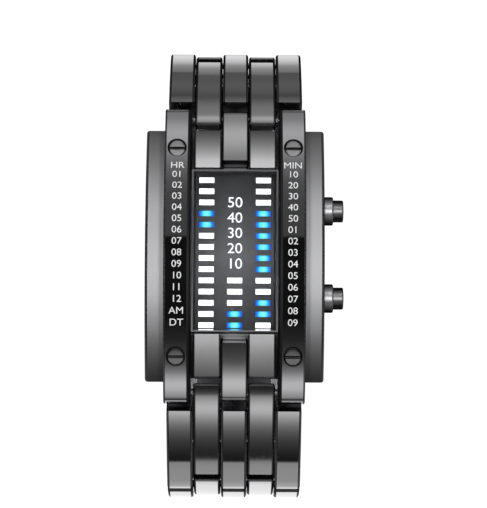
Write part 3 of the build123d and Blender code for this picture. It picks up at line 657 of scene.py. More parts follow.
# %% Node trees that set pieces out
def copy_and_paint(tree, inside, outside, points):
    """Copies of the piece on points, made real, with materials for plain and flagged faces."""
    piece = add_node(tree, "GeometryNodeObjectInfo", {"Object": inside["Piece"]}).outputs["Geometry"]
    copies = add_node(tree, "GeometryNodeInstanceOnPoints", {"Points": points, "Instance": piece})
    real = add_node(tree, "GeometryNodeRealizeInstances", {0: copies.outputs[0]})
    faces = add_node(tree, "GeometryNodeSetMaterial", {0: real.outputs[0], "Material": inside["Face"]})
    # Flagged faces get the second material, a steel painted with shade.
    flag = add_node(tree, "GeometryNodeInputNamedAttribute", {"Name": "polished"}, data_type="INT")
    bevels = add_node(tree, "GeometryNodeSetMaterial", {
        "Geometry": faces.outputs[0],
        "Selection": flag.outputs["Attribute"],
        "Material": inside["Bevel"],
    })
    set_inputs(tree, outside, {0: bevels.outputs[0]})
    return tree


finish_sockets = (("Piece", "Object"), ("Face", "Material"), ("Bevel", "Material"))
geometry_out = (("Geometry", "Geometry"),)


def make_row_tree():
    """Copies of a piece side by side along X, centred on the middle of the bracelet."""
    inputs = finish_sockets + (("Count", "Int"), ("Spacing", "Float"))
    tree, inside, outside = make_group("row_of_bars", "GeometryNodeTree", inputs, geometry_out)
    gaps = math_node(tree, "SUBTRACT", inside["Count"], 1)
    start = math_node(tree, "MULTIPLY", math_node(tree, "MULTIPLY", gaps, -0.5), inside["Spacing"])
    line = add_node(tree, "GeometryNodeMeshLine", {
        "Count": inside["Count"],
        "Start Location": add_node(tree, "ShaderNodeCombineXYZ", {0: start}).outputs[0],
        "Offset": add_node(tree, "ShaderNodeCombineXYZ", {0: inside["Spacing"]}).outputs[0],
    })
    return copy_and_paint(tree, inside, outside, line.outputs[0])


def make_points_tree():
    """Copies of a piece on the vertices of the object that carries the tree."""
    inputs = (("Points", "Geometry"),) + finish_sockets
    tree, inside, outside = make_group("pieces_on_points", "GeometryNodeTree", inputs, geometry_out)
    return copy_and_paint(tree, inside, outside, inside["Points"])


row_of_bars = make_row_tree()
pieces_on_points = make_points_tree()
print("trees:", row_of_bars.name, "and", pieces_on_points.name)


# %% Run a node tree
def run_tree(name, tree, piece, face, bevel, points=(), lit=(), crisp=crisp_angle, **sizes):
    """A plain mesh made by the tree, with its inputs set by their sockets' identifiers."""
    data = bpy.data.meshes.new(name)
    data.from_pydata([[c * mm for c in p] for p in points], [], [])
    if lit:
        data.attributes.new("lit", "FLOAT", "POINT").data.foreach_set("value", lit)
    thing = new_object(name, data)
    change = thing.modifiers.new("nodes", "NODES")
    change.node_group = tree
    piece.data.materials.clear()
    piece.data.materials.append(face)
    values = {"Piece": piece, "Face": face, "Bevel": bevel, **sizes}
    for item in tree.interface.items_tree:
        if item.in_out == "INPUT" and item.name in values:
            change[item.identifier] = values[item.name]
    baked(thing)
    crisp_edges(thing.data, crisp)
    return thing


# %% [markdown]
# The pins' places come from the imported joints, so each link lies exactly on its own two hinges.
# The mesh is turned and moved there, and the object itself stays at the origin.

# %% Hinge places from the joints
hinges = {joint["name"]: joint for joint in frame["joints"]}


def hinge_place(name):
    """Place of a hinge in the plane of the loop, in mm."""
    place = hinges[name]["pos_m"]
    return (place[1] / mm, place[2] / mm)


hinge_names = {
    "upper": ("upper_lug_hinge", "upper_link_hinge_1", "upper_link_hinge_2", "clasp_cover_hinge"),
    "lower": ("lower_lug_hinge", "lower_link_hinge_1", "lower_link_hinge_2", "clasp_blade_hinge"),
}
pins = {title: [hinge_place(name) for name in names] for title, names in hinge_names.items()}
lug_pin_z = pins["upper"][0][1]
print("upper pins:", pins["upper"])


# %% Place the links
def link_placement(near, far, side):
    """The matrix from a bar's own plane to its place; side is 1 above the dial, -1 below."""
    chord = Vector((0, far[0] - near[0], far[1] - near[1])).normalized()
    across = Vector((side, 0, 0))
    turn = Matrix((across, chord, across.cross(chord))).transposed().to_4x4()
    return Matrix.Translation((0, near[0] * mm, near[1] * mm)) @ turn


bar_kinds = (("outer", outer_bar, 3, link_steel), ("inner", inner_bar, 2, inner_steel))


def make_link(name, near, far, side):
    """Both sets of bars of one link, on its body."""
    for kind, bar, count, steel in bar_kinds:
        bars = run_tree(
            f"{name}_{kind}_bars_dressed", row_of_bars, bar, steel, edge_shade_steel,
            Count=count, Spacing=column_spacing * mm,
        )
        bars.data.transform(link_placement(near, far, side))
        dress(bars, name, "link_steel", [f"{name}_{kind}_bars"])


for title, side in halves:
    for number in range(3):
        make_link(f"{title}_link_{number + 1}", pins[title][number], pins[title][number + 1], side)
for bar in (outer_bar, inner_bar):
    bpy.data.objects.remove(bar)

# %% [markdown]
# The two scale bars are long rails on one arc, with round lugs at both ends. They carry the hour
# and minute marks. Their inner rim has a wide flat bevel towards the window, and their outer rim a
# narrow round one. Each has two counterbores for the slotted screws, cut by turned blanks.

# %% Sizes of the scale bars
scale_inner_edge = 8.05
scale_outer_edge = 13.15
scale_inner_bevel = 0.8
scale_outer_bevel = 0.35
scale_screw_x = (scale_inner_edge + scale_inner_bevel + scale_outer_edge - scale_outer_bevel) / 2
scale_screw_y = 19.5
screw_recess_radius = 1.80
screw_head_radius = 1.55
screw_head_top = 7.4
screw_head_height = 1.0
screw_seat = screw_head_top - screw_head_height
screw_shank_radius = 0.8
screw_tip = 1.8
inner_rim_width = 1.0
recess_floor_margin = 0.2
print("scale screws at:", scale_screw_x, scale_screw_y)


def lug_strip(half, start_turn, end_turn, round_start, round_end):
    """Side view of a strip on the lugs' arc between two turns, round about a pin where asked."""
    start, end = up - start_turn, up - end_turn
    points = arc(case_centre, lug_arc_radius + half, start, end)
    if round_end:
        points += arc(polar(case_centre, lug_arc_radius, end), half, end, end - pi, nose_step)
    points += arc(case_centre, lug_arc_radius - half, end, start)
    if round_start:
        points += arc(polar(case_centre, lug_arc_radius, start), half, start - pi, start - 2 * pi, nose_step)
    return points


# %% Scale bars
def screw_blanks(side):
    """Turned cutters of one side's two screw holes: the shank's hole and the head's recess."""
    hole = screw_shank_radius + fit
    profile = [(screw_tip - fit, hole), (screw_seat, hole)]
    profile += [(screw_seat, screw_recess_radius), (crown_height, screw_recess_radius)]
    places = [(side * scale_screw_x, y, 0) for y in (-scale_screw_y, scale_screw_y)]
    return [lathe("counterbore", profile, place, axis="Z") for place in places]


def make_scale_bar(name, side):
    """One rail; side is -1 for the hours and 1 for the minutes. Flag 2 marks the faces painted near black as
    shade: the inner rim and the screw recesses.
    """
    points = lug_strip(eye_radius, -lug_pin_turn, lug_pin_turn, True, True)
    bores = [(y, lug_pin_z, hinge_pin_radius + fit) for y in (-lug_pin_y, lug_pin_y)]
    ends = sorted((side * scale_inner_edge, side * scale_outer_edge))
    bevels = (scale_inner_bevel, scale_outer_bevel)[::side]
    rail = slab(name, points, *ends, *bevels, bores)
    rims = rail.data.attributes["polished"].data
    # Painted shade on the inner rim, towards the window.
    for polygon in rail.data.polygons:
        if rims[polygon.index].value and side * polygon.center.x < (scale_inner_edge + inner_rim_width) * mm:
            rims[polygon.index].value = 2
    cut_out(rail, screw_blanks(side))
    # Painted shade on the walls and floor of the screw recesses.
    rims = rail.data.attributes["polished"].data
    for polygon in rail.data.polygons:
        middle = polygon.center / mm
        near = sqrt((middle.x - side * scale_screw_x) ** 2 + (abs(middle.y) - scale_screw_y) ** 2)
        sunk = abs(polygon.normal.z) < facing_share or middle.z < screw_seat + recess_floor_margin
        if near < screw_recess_radius + fit and sunk:
            rims[polygon.index].value = 2
    return rail


for side, title in ((-1, "hour"), (1, "minute")):
    rail = make_scale_bar(f"{title}_scale_bar_dressed", side)
    dress(rail, "case", "scale_steel", [f"{title}_scale_bar"], scale_steel, edge_shade_steel, deep_shade_steel)

# %% [markdown]
# Between the scale bars, two end blocks and one centre lug close the case at each end. The end
# blocks stop short of the bracelet, and the centre lug goes on to its round nose on the lug pin.

# %% End blocks and centre lugs
end_block_start = 15.5
end_block_drop = 0.15
end_bevel = 0.3
centre_lug_start = 16.4
centre_lug_drop = 0.5


def end_block_outline(side):
    """Side view of an end block, between two of the case's arcs."""
    top = bar_arc_radius - end_block_drop
    out, back = (
        [up - side * asin(y / radius) for y in (end_block_start, core_half_length)]
        for radius in (top, case_arc_radius)
    )
    return arc(case_centre, top, *out) + arc(case_centre, case_arc_radius, *back[::-1])


def make_case_ends(title, side):
    """Two end blocks in one mesh, and the centre lug."""
    half_width = inner_bar_width / 2
    block = slab("end_block", end_block_outline(side), -half_width, half_width, end_bevel, end_bevel)
    blocks = run_tree(
        f"{title}_end_blocks_dressed", row_of_bars, block, block_steel, edge_shade_steel,
        Count=2, Spacing=column_spacing * mm,
    )
    bpy.data.objects.remove(block)
    dress(blocks, "case", "case_steel", [f"{title}_end_blocks"])
    turns = sorted((side * asin(centre_lug_start / lug_arc_radius), side * lug_pin_turn))
    points = lug_strip(eye_radius - centre_lug_drop, *turns, side < 0, side > 0)
    bore = (side * lug_pin_y, lug_pin_z, hinge_pin_radius + fit)
    name = f"{title}_centre_lug_dressed"
    lug = slab(name, points, -centre_edge, centre_edge, end_bevel, end_bevel, [bore])
    dress(lug, "case", "case_steel", [f"{title}_centre_lug"], lug_steel, edge_shade_steel)


for title, side in halves:
    make_case_ends(title, side)

# %% [markdown]
# The case middle is one block with a domed top. Its two shoulders show on both sides of the scale
# bars, with a satin face. The block is pushed out along X like the bars, and then its lug notches,
# the grooves under the rails, the window well and the seat of the back are cut out of it.

# %% Outline of the case middle
case_edge_bevel = 0.5
foot_z = case_bottom + case_foot_bevel
foot_y = case_half_length - case_foot_bevel


def case_outline():
    """Side view of the case: the shoulders' arc, upright ends and a bevelled foot."""
    turn = asin(case_half_length / case_arc_radius)
    points = arc(case_centre, case_arc_radius, up + turn, up - turn)
    points += [(case_half_length, foot_z), (foot_y, case_bottom)]
    return points + [(-foot_y, case_bottom), (-case_half_length, foot_z)]


edges = (-case_half_width, case_half_width)
case_middle = slab("case_middle_dressed", case_outline(), *edges, case_edge_bevel, case_edge_bevel)
print("uncut case:", len(case_middle.data.polygons), "faces")

# %% Grooves and notches at the case's ends
overrun = 1
rail_edge = scale_outer_edge + fit
groove_end = core_half_length + overrun
window_half_width = 8.02
window_half_length = 15.12


def groove(radius, low_x, high_x, low_y, high_y):
    """A cutter for a groove above one of the case's arcs."""
    points = [(low_y, crown_height), (high_y, crown_height)]
    turns = [up - asin(y / radius) for y in (high_y, low_y)]
    return slab("groove", points + arc(case_centre, radius, *turns), low_x, high_x)


cutters = []
rail_radius = lug_arc_radius - eye_radius
for side in (-1, 1):
    notch = sorted((side * core_half_length, side * 2 * case_half_length))
    cutters.append(brick((-rail_edge, notch[0], 0), (rail_edge, notch[1], crown_height)))
    strip = sorted((side * window_half_width, side * rail_edge))
    cutters.append(groove(rail_radius, *strip, -groove_end, groove_end))
    ends = sorted((side * end_block_start, side * groove_end))
    cutters.append(groove(rail_radius + centre_lug_drop, -centre_edge - fit, centre_edge + fit, *ends))
print("grooves and notches:", len(cutters))

# %% Rooms inside the case
window_floor = 5.4
back_half_width = 14.52
back_half_length = 20.02
back_thickness = 1.2
cavity_half_width = 11.2
cavity_half_length = 16.5
cavity_ceiling = 4.7
gasket_width = 0.62
gasket_top = 1.6
ledge = 0.87
for half_width, half_length, low, high in (
    (window_half_width, window_half_length, window_floor, crown_height),
    (back_half_width, back_half_length, -overrun, back_thickness),
    (cavity_half_width, cavity_half_length, 0, cavity_ceiling),
    (cavity_half_width + gasket_width, cavity_half_length + gasket_width, 0, gasket_top),
    (window_half_width - ledge, window_half_length - ledge, 0, crown_height),
):
    cutters.append(brick((-half_width, -half_length, low), (half_width, half_length, high)))
print("with the rooms:", len(cutters))

# %% Bores for the pushers and the screws
pusher_y = 8.2
pusher_z = 4.3
chamber_radius = 1.6
neck_radius = 1.3
neck_inner_x = 13.4
shank_radius = 2.5
shank_inner_x = 14.8
tube_bore = ((cavity_half_width - overrun, chamber_radius), (neck_inner_x, chamber_radius))
tube_bore += ((neck_inner_x, neck_radius + fit), (shank_inner_x, neck_radius + fit))
tube_bore += ((shank_inner_x, shank_radius + fit), (case_half_width + overrun, shank_radius + fit))
for side in (-1, 1):
    cutters.append(lathe("bore", tube_bore, (0, side * pusher_y, pusher_z)))
    cutters += screw_blanks(side)
cut_out(case_middle, cutters)
dress(case_middle, "case", "case_steel", ["case_middle"], satin_steel, edge_shade_steel)

# %% [markdown]
# A slotted screw is turned, and its slot is sawn across the head. One is drawn, and a node tree
# sets it out on the points that it is given. The same tree serves for whatever repeats at places
# that aren't in a row.

# %% Slotted screws
slot_half_width = 0.28
slot_half_foot = 0.11
slot_depth = 0.40
slot_margin = 0.01
head_clearance = 0.06
head_dome = 0.06
head_round = 0.10
dome_share, flat_share = 0.8, 0.4
seen_radius = screw_head_radius - head_clearance
profile = [(screw_tip - screw_head_top, screw_shank_radius), (-screw_head_height, screw_shank_radius)]
profile += [(-screw_head_height, seen_radius)] + softened(-head_dome, seen_radius, head_round)
profile += [(-head_dome / 3, dome_share * seen_radius), (0, flat_share * seen_radius)]
screw = lathe("screw", profile, (0, 0, 0), axis="Z")
slot_outline = [(-slot_half_width, 1), (slot_half_width, 1), (slot_half_width, 0)]
slot_outline += [(slot_half_foot, -slot_depth), (-slot_half_foot, -slot_depth), (-slot_half_width, 0)]
slot_reach = 2 * seen_radius
cut_out(screw, [slab("slot", slot_outline, -slot_reach, slot_reach)])
# Painted shade in the slot: its walls and floor get the near-black steel.
sawn = screw.data.attributes["polished"]
for polygon in screw.data.polygons:
    middle = polygon.center / mm
    in_slot = -slot_depth - slot_margin < middle.z < -head_dome - 2 * slot_margin
    sawn.data[polygon.index].value = int(in_slot and abs(middle.y) < slot_half_width)
columns = (-scale_screw_x, scale_screw_x)
places = [(x, y, screw_head_top) for x in columns for y in (-scale_screw_y, scale_screw_y)]
screws = run_tree("scale_bar_screws_dressed", pieces_on_points, screw, screw_steel, deep_shade_steel, places)
bpy.data.objects.remove(screw)
dress(screws, "case", "polished_steel", ["scale_bar_screws"])

# %% [markdown]
# A pusher is a cap on a stem. It slides in a tube whose wide collar stands on the side of the case.
# Both are turned pieces. The cap's outer rim is softened, and so is the collar's.

# %% Pushers and their tubes
collar_radius = 2.67
collar_face_x = 18.3
collar_round = 0.3
tube_bore_radius = 2.10
tube_lip = 0.12
bore_floor_x = 15.2
cap_radius = 2.05
cap_face_x = 20.25
cap_round = 0.28
cap_dome = 0.06
cap_flat_radius = 0.9
cap_inner_x = 16.9
stem_radius = 0.7
stem_inner_x = 12.8
stem_bore = stem_radius + 0.05

collar = [(neck_inner_x, stem_bore), (neck_inner_x, neck_radius), (shank_inner_x, neck_radius)]
collar += [(shank_inner_x, shank_radius), (case_half_width, shank_radius), (case_half_width, collar_radius)]
collar += softened(collar_face_x, collar_radius, collar_round)
collar += [(collar_face_x, tube_bore_radius + tube_lip), (collar_face_x - tube_lip, tube_bore_radius)]
collar += [(bore_floor_x, tube_bore_radius), (bore_floor_x, stem_bore)]
tube = lathe("tube", collar, (0, 0, 0), bored=True)
places = [(0, y, pusher_z) for y in (-pusher_y, pusher_y)]
tubes = run_tree("pusher_tubes_dressed", pieces_on_points, tube, pusher_steel, edge_shade_steel, places)
bpy.data.objects.remove(tube)
dress(tubes, "case", "case_steel", ["pusher_tubes"])
cap = [(stem_inner_x, stem_radius), (cap_inner_x, stem_radius), (cap_inner_x, cap_radius)]
cap += softened(cap_face_x - cap_dome, cap_radius, cap_round) + [(cap_face_x, cap_flat_radius)]
for title, side in halves:
    pusher = lathe(f"{title}_pusher_dressed", cap, (0, side * pusher_y, pusher_z))
    dress(pusher, f"{title}_pusher", "polished_steel", [f"{title}_pusher"], pusher_steel)

# %% [markdown]
# A return spring lies round each stem, between the tube's floor and the cap. It gets shorter as the
# cap goes in, so it is a coil of its own, with a mesh of its own.

# %% Return springs
spring_turns = 3
turn_steps = 32
wire_sides = 8
wire_radius = 0.115
spring_crisp = 60


def make_spring(name, y):
    """A coil of round wire that fills the box of the spring it stands for."""
    low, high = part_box(name)
    start = low[0] / mm + wire_radius
    rise = (high[0] - low[0]) / mm - 2 * wire_radius
    coil_radius = (high[2] - low[2]) / mm / 2 - wire_radius
    steps = spring_turns * turn_steps
    mesh = bmesh.new()
    rings = []
    for k in range(steps + 1):
        ring = []
        middle = (coil_radius, start + rise * k / steps)
        for j in range(wire_sides):
            radius, along = polar(middle, wire_radius, 2 * pi * j / wire_sides)
            place = (along, *polar((y, pusher_z), radius, 2 * pi * k / turn_steps))
            ring.append(mesh.verts.new([p * mm for p in place]))
        rings.append(ring)
    skin(mesh, rings)
    return as_object(mesh, f"{name}_dressed", spring_crisp)


for title, side in halves:
    name = f"{title}_pusher_spring"
    spring = make_spring(name, side * pusher_y)
    dress(spring, "case", "spring_steel", [name], pin_steel)
    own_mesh(spring)

# %% [markdown]
# Behind the glass a dark mask leaves a window over each light. The lenses in those windows are
# milky. Some are lit: they glow white-blue in the middle and deep blue at their ends. The unlit ones
# glow a milky grey, which is a painted glow. Each lens carries a number that says whether it is lit,
# and a map across it, and the material reads both.

# %% Places of the lenses, and which are lit
led_first_row_y = 13.3
led_row_pitch = 2.08
led_rows = 14
led_column = 5.26
lens_width = 2.76
lens_height = 1.00
lens_top = 8.3
lens_thickness = 0.4
lens_crisp = 50
short_rows = 5
lit_rows = {-1: (4, 5), 1: (4, 5, 6, 7, 8, 9, 12, 13), 0: (13, 14)}


def row_y(row):
    """Height of a row of windows on the dial; the top row is number 1."""
    return led_first_row_y - (row - 1) * led_row_pitch


lens_places = []
lens_lit = []
for row in range(1, led_rows + 1):
    for column in (-1, 0, 1):
        if column != 0 or row > led_rows - short_rows:
            lens_places.append((column * led_column, row_y(row), lens_top))
            lens_lit.append(float(row in lit_rows[column]))
print("lenses:", len(lens_places), "lit:", int(sum(lens_lit)))

# %% A lens
cells_across = 12
cells_down = 6
pillow_drop = 0.10
pillow_edge = 0.25


def pillow_point(i, j):
    """A point of a lens's top, which sinks a little towards its edges."""
    u, v = i / cells_across, j / cells_down
    edge = min(u * lens_width, (1 - u) * lens_width, v * lens_height, (1 - v) * lens_height)
    drop = pillow_drop * (1 - min(1, edge / pillow_edge)) ** 2
    return ((u - 0.5) * lens_width * mm, (v - 0.5) * lens_height * mm, -drop * mm)


def make_lens_mesh():
    """One lens: a small pillow-topped block with a map across its face."""
    mesh = bmesh.new()
    uv = mesh.loops.layers.uv.new("along")
    columns, rows = range(cells_across + 1), range(cells_down + 1)
    grid = [[mesh.verts.new(pillow_point(i, j)) for i in columns] for j in rows]
    for low, high in zip(grid, grid[1:]):
        for i in range(cells_across):
            mesh.faces.new((low[i], low[i + 1], high[i + 1], high[i]))
    rim = grid[0] + [line[-1] for line in grid[1:]] + grid[-1][-2::-1] + [line[0] for line in grid[-2:0:-1]]
    foot = [mesh.verts.new((v.co.x, v.co.y, -lens_thickness * mm)) for v in rim]
    join_rings(mesh, foot, rim)
    mesh.faces.new(foot)
    for face in mesh.faces:
        for corner in face.loops:
            place = corner.vert.co / mm
            corner[uv].uv = (place.x / lens_width + 0.5, place.y / lens_height + 0.5)
    return as_object(mesh, "lens", lens_crisp)


# %% What the lenses are made of
lit_stops = (
    (0.0, (0.30, 0.98, 1.0, 1)),
    (0.24, (0.06, 0.92, 1.0, 1)),
    (0.33, (0.0, 0.46, 1.0, 1)),
    (0.42, (0.0, 0.13, 0.92, 1)),
    (0.5, (0.0, 0.10, 0.75, 1)),
)
upright_share = 0.10
glow_mottles_per_mm = 1.4
# Painted glow of the unlit lenses: a milky grey that they emit.
unlit_glow_tones = ((0.74, 0.75, 0.77, 1), (0.86, 0.87, 0.89, 1))
unlit_body = (0.80, 0.81, 0.83, 1)
lit_body = (0.0, 0.02, 0.10, 1)


def make_lens_material():
    """Milky plastic: where its lit value is 1 it glows pale in the middle and blue at the ends, and where it
    is 0 it glows a painted milky grey.
    """
    material, tree, shader = new_material("milky lens")
    lit = add_node(tree, "ShaderNodeAttribute", attribute_name="lit").outputs["Fac"]
    spot = axes_of(tree, add_node(tree, "ShaderNodeUVMap", uv_map="along").outputs[0])
    sideways, upright = (
        math_node(tree, "ABSOLUTE", math_node(tree, "SUBTRACT", spot[axis], 0.5)) for axis in (0, 1)
    )
    reach = math_node(tree, "ADD", sideways, math_node(tree, "MULTIPLY", upright, upright_share))
    glow_mottle = noise_node(tree, object_place(tree), glow_mottles_per_mm / mm)
    # Unlit lenses emit the painted milky grey; lit ones emit the ramp.
    glow = mix_colors(tree, lit, mix_colors(tree, glow_mottle, *unlit_glow_tones), color_ramp(tree, reach, lit_stops))
    set_inputs(tree, shader, {
        "Base Color": mix_colors(tree, lit, unlit_body, lit_body),
        "Roughness": 0.35,
        "Specular IOR Level": 0.2,
        "Emission Color": glow,
        "Emission Strength": 1.0,
    })
    return material


lens_material = make_lens_material()
lens = make_lens_mesh()
lenses = run_tree(
    "led_lenses_dressed", pieces_on_points, lens, lens_material, lens_material,
    lens_places, lens_lit, lens_crisp,
)
bpy.data.objects.remove(lens)
dress(lenses, "case", "lens_plastic", ["led_lenses"])

# %% [markdown]
# Plastics, rubber and the board have a fine grain instead of brush lines. Grain is a second node
# group: small bumps, and a slow change of tone.

# %% Grained materials
default_grains = 12.0
roughness_spread = 0.06


def make_grain():
    """Fine bumps and slow mottling for moulded and painted surfaces."""
    inputs = (("Grains per mm", "Float", default_grains),)
    outputs = (("Bumps", "Float"), ("Mottle", "Float"))
    tree, inside, outside = make_group("grain", "ShaderNodeTree", inputs, outputs)
    place = object_place(tree)
    for title, scale in (("Bumps", 1.0), ("Mottle", 0.03)):
        per_metre = math_node(tree, "MULTIPLY", inside["Grains per mm"], scale / mm)
        set_inputs(tree, outside, {title: noise_node(tree, place, per_metre, 3.0)})
    return tree


grain = make_grain()


def make_grained(name, dark, light, rough, depth, metallic=0.0, grains=default_grains):
    """A grained material between two tones."""
    material, tree, shader = new_material(name)
    surface = add_node(tree, "ShaderNodeGroup", {"Grains per mm": grains}, node_tree=grain)
    mottle = map_range(tree, surface.outputs["Mottle"], noise_low, noise_high)
    bumps = surface.outputs["Bumps"]
    limits = (rough - roughness_spread, rough + roughness_spread)
    set_inputs(tree, shader, {
        "Base Color": mix_colors(tree, mottle, (*dark, 1), (*light, 1)),
        "Roughness": map_range(tree, bumps, noise_low, noise_high, *limits),
        "Normal": bump_node(tree, bumps, depth),
        "Metallic": metallic,
    })
    return material


mask_paint = make_grained("dark mask", (0.066, 0.067, 0.070), (0.078, 0.079, 0.083), 0.60, 0.002)
black_rubber = make_grained("black rubber", (0.012, 0.012, 0.012), (0.022, 0.022, 0.022), 0.7, 0.004)
board_resist = make_grained("green board", (0.012, 0.09, 0.04), (0.02, 0.13, 0.06), 0.4, 0.002)
chip_plastic = make_grained("moulded chip", (0.015, 0.015, 0.016), (0.03, 0.03, 0.032), 0.5, 0.003)
holder_plastic = make_grained("moulded holder", (0.02, 0.02, 0.02), (0.035, 0.035, 0.035), 0.5, 0.004)
cell_metal = make_grained("nickel-plated cell", (0.55, 0.54, 0.52), (0.64, 0.63, 0.61), 0.24, 0.001, 1.0)
contact_brass = make_grained("contact brass", (0.62, 0.42, 0.15), (0.72, 0.52, 0.22), 0.28, 0.001, 1.0)
mark_paint = make_grained("printed marks", (0.70, 0.71, 0.72), (0.82, 0.83, 0.84), 0.6, 0.001, grains=30)

# Painted shade on the mask: darker away from the middle of the window, towards its ends and its sides.
shade_across(mask_paint, (1, -1, 0, 16, 0.15), (0, 0, 1, 7.4, 0.6))
mask_paint.node_tree.nodes["Principled BSDF"].inputs["Specular IOR Level"].default_value = 0.1

# %% [markdown]
# Marks beside the windows say what a row stands for: plain numbers, and short words for hours and
# minutes. Text is drawn as a curve from Blender's own font, turned into a mesh, scaled to the
# height that a mark has, and then laid on the arc of its scale bar like a print.

# %% Printed marks
mark_thickness = 0.004
mark_width = 1.06
mark_lift = 0.008
same_vertex = 1e-7


def make_mark(words, height, place, tilt):
    """One printed word or number as a thin mesh; tilt turns it about X to lie on an arc."""
    curve = bpy.data.curves.new("mark", "FONT")
    curve.body = words
    curve.align_x = "CENTER"
    curve.align_y = "CENTER"
    curve.extrude = mark_thickness
    thing = new_object("mark", curve)
    bpy.context.view_layer.update()
    seen = thing.evaluated_get(bpy.context.evaluated_depsgraph_get())
    data = bpy.data.meshes.new_from_object(seen)
    bpy.data.objects.remove(thing)
    tall = max(v.co.y for v in data.vertices) - min(v.co.y for v in data.vertices)
    size = height / tall * mm
    turn = Matrix.Rotation(tilt, 4, "X") @ Matrix.Diagonal((size * mark_width, size, size, 1))
    data.transform(Matrix.Translation([c * mm for c in place]) @ turn)
    return data


def print_marks(name, marks):
    """All marks of one surface in one mesh; each is (words, height, place, tilt)."""
    mesh = bmesh.new()
    for mark in marks:
        data = make_mark(*mark)
        mesh.from_mesh(data)
        bpy.data.meshes.remove(data)
    bmesh.ops.remove_doubles(mesh, verts=mesh.verts, dist=same_vertex)
    dress(as_object(mesh, name), "case", "scale_steel", [], mark_paint)


# %% Marks on the scale bars
bar_mark_height = 1.26
bar_mark_x = 10.72
bar_mark_pitch = 2.122
mark_rise = 0.80
heading_share = 0.84
first_mark_y = row_y(1) + mark_rise
heading_y = first_mark_y + heading_share * bar_mark_pitch
hours = ["HR"] + [f"{n:02d}" for n in range(1, 13)] + ["AM", "DT"]
minutes = ["MIN", "10", "20", "30", "40", "50"] + [f"{n:02d}" for n in range(1, 10)]
for words_list, side, title in ((hours, -1, "hour"), (minutes, 1, "minute")):
    marks = []
    for k, words in enumerate(words_list):
        turn = asin((first_mark_y - (k - 1) * bar_mark_pitch if k else heading_y) / bar_arc_radius)
        y, z = polar(case_centre, bar_arc_radius + mark_lift, up - turn)
        marks.append((words, bar_mark_height, (side * bar_mark_x, y, z), -turn))
    print_marks(f"{title}_marks", marks)

# %% Marks between the columns of lights
tens_top_y = 9.06
tens_pitch = 2.861
tens_height = 1.90
marks = []
for k, words in enumerate(("50", "40", "30", "20", "10")):
    marks.append((words, tens_height, (0, tens_top_y - k * tens_pitch, lens_top + mark_lift), 0))
print_marks("tens_marks", marks)

# %% [markdown]
# The glass is one clear block over the window. Light has to get through it to the mask, so the
# glass lets shadow rays pass. Everything else that the solids already have right, such as the
# window frame, the mask, the board and the cells, keeps its solid and gets a finish.

# %% Glass
smears_per_mm = 0.25
smear_roughness = 0.03


def make_glass():
    """Clear mineral glass with faint smears."""
    material, tree, shader = new_material("watch glass")
    smear = noise_node(tree, object_place(tree), smears_per_mm / mm, 4.0)
    set_inputs(tree, shader, {
        "Base Color": (0.97, 0.98, 0.99, 1),
        "Roughness": map_range(tree, smear, 0.4, 0.7, 0.0, smear_roughness),
        "Transmission Weight": 1.0,
        "IOR": 1.50,
    })
    clear = add_node(tree, "ShaderNodeBsdfTransparent").outputs[0]
    shadow = add_node(tree, "ShaderNodeLightPath").outputs["Is Shadow Ray"]
    chosen = add_node(tree, "ShaderNodeMixShader", {0: shadow, 1: shader.outputs[0], 2: clear})
    set_inputs(tree, tree.nodes["Material Output"], {"Surface": chosen.outputs[0]})
    return material


# %% Finishes for the solids that stay
finishes = {
    "display_bezel": frame_steel, "crystal": make_glass(), "crystal_gasket": black_rubber,
    "light_mask": mask_paint, "led_board": board_resist, "led_chips": lens_material,
    "controller_chip": chip_plastic, "quartz_oscillator": turned_steel, "button_cells": cell_metal,
    "module_holder": holder_plastic, "battery_contact": contact_brass, "case_back": clasp_steel,
    "case_back_gasket": black_rubber, "case_back_screws": turned_steel, "clasp_cover": clasp_steel,
    "clasp_middle_blade": shaded_blade_steel, "clasp_inner_blade": shaded_blade_steel, "clasp_fold_pin": pin_steel,
    "clasp_blade_pin": pin_steel, "upper_lug_pin": pin_steel, "lower_lug_pin": pin_steel,
}
for title, _ in halves:
    finishes[f"{title}_pusher_seal"] = black_rubber
    finishes[f"{title}_pusher_clip"] = pin_steel
    for number in (1, 2, 3):
        finishes[f"{title}_link_{number}_pins"] = pin_steel
for name, material in finishes.items():
    if not nodes[name].material_slots:
        nodes[name].data.materials.append(material)
    for place in nodes[name].material_slots:
        place.material = material
print("finished solids:", len(finishes), "replaced solids:", len(nodes) - len(finishes))

# %% [markdown]
# The studio. The watch stands on its clasp on a pale floor. Polished steel shows the room more
# than itself, so the room is a row of levels: dark overhead round the camera, a soft bright band low
# towards six and towards twelve, and darker again at the horizon. Diffuse surfaces see a plain even
# light. The floor glows white where the camera sees it, except under the watch, so that no white
# shows between the links. The rest of it is paint, which keeps the shadow.

# %% Floor
floor_levels = (
    (-0.250, 0.34), (-0.190, 0.34), (-0.130, 0.60), (-0.070, 1.00), (-0.042, 1.00), (-0.038, 0.10),
    (0.040, 0.10), (0.060, 0.60), (0.080, 1.00), (0.094, 0.66), (0.106, 0.28), (0.124, 0.15), (0.133, 0.14),
    (0.137, 0.0), (0.180, 0.01), (0.250, 0.04),
)
levels_reach = 0.25
floor_half = 2.0
floor_tone = 0.88
floor_glow = 1.12
glow_share = 0.85
covered_half_width = 0.013
covered_half_length = 0.038
covered_edge = 0.75


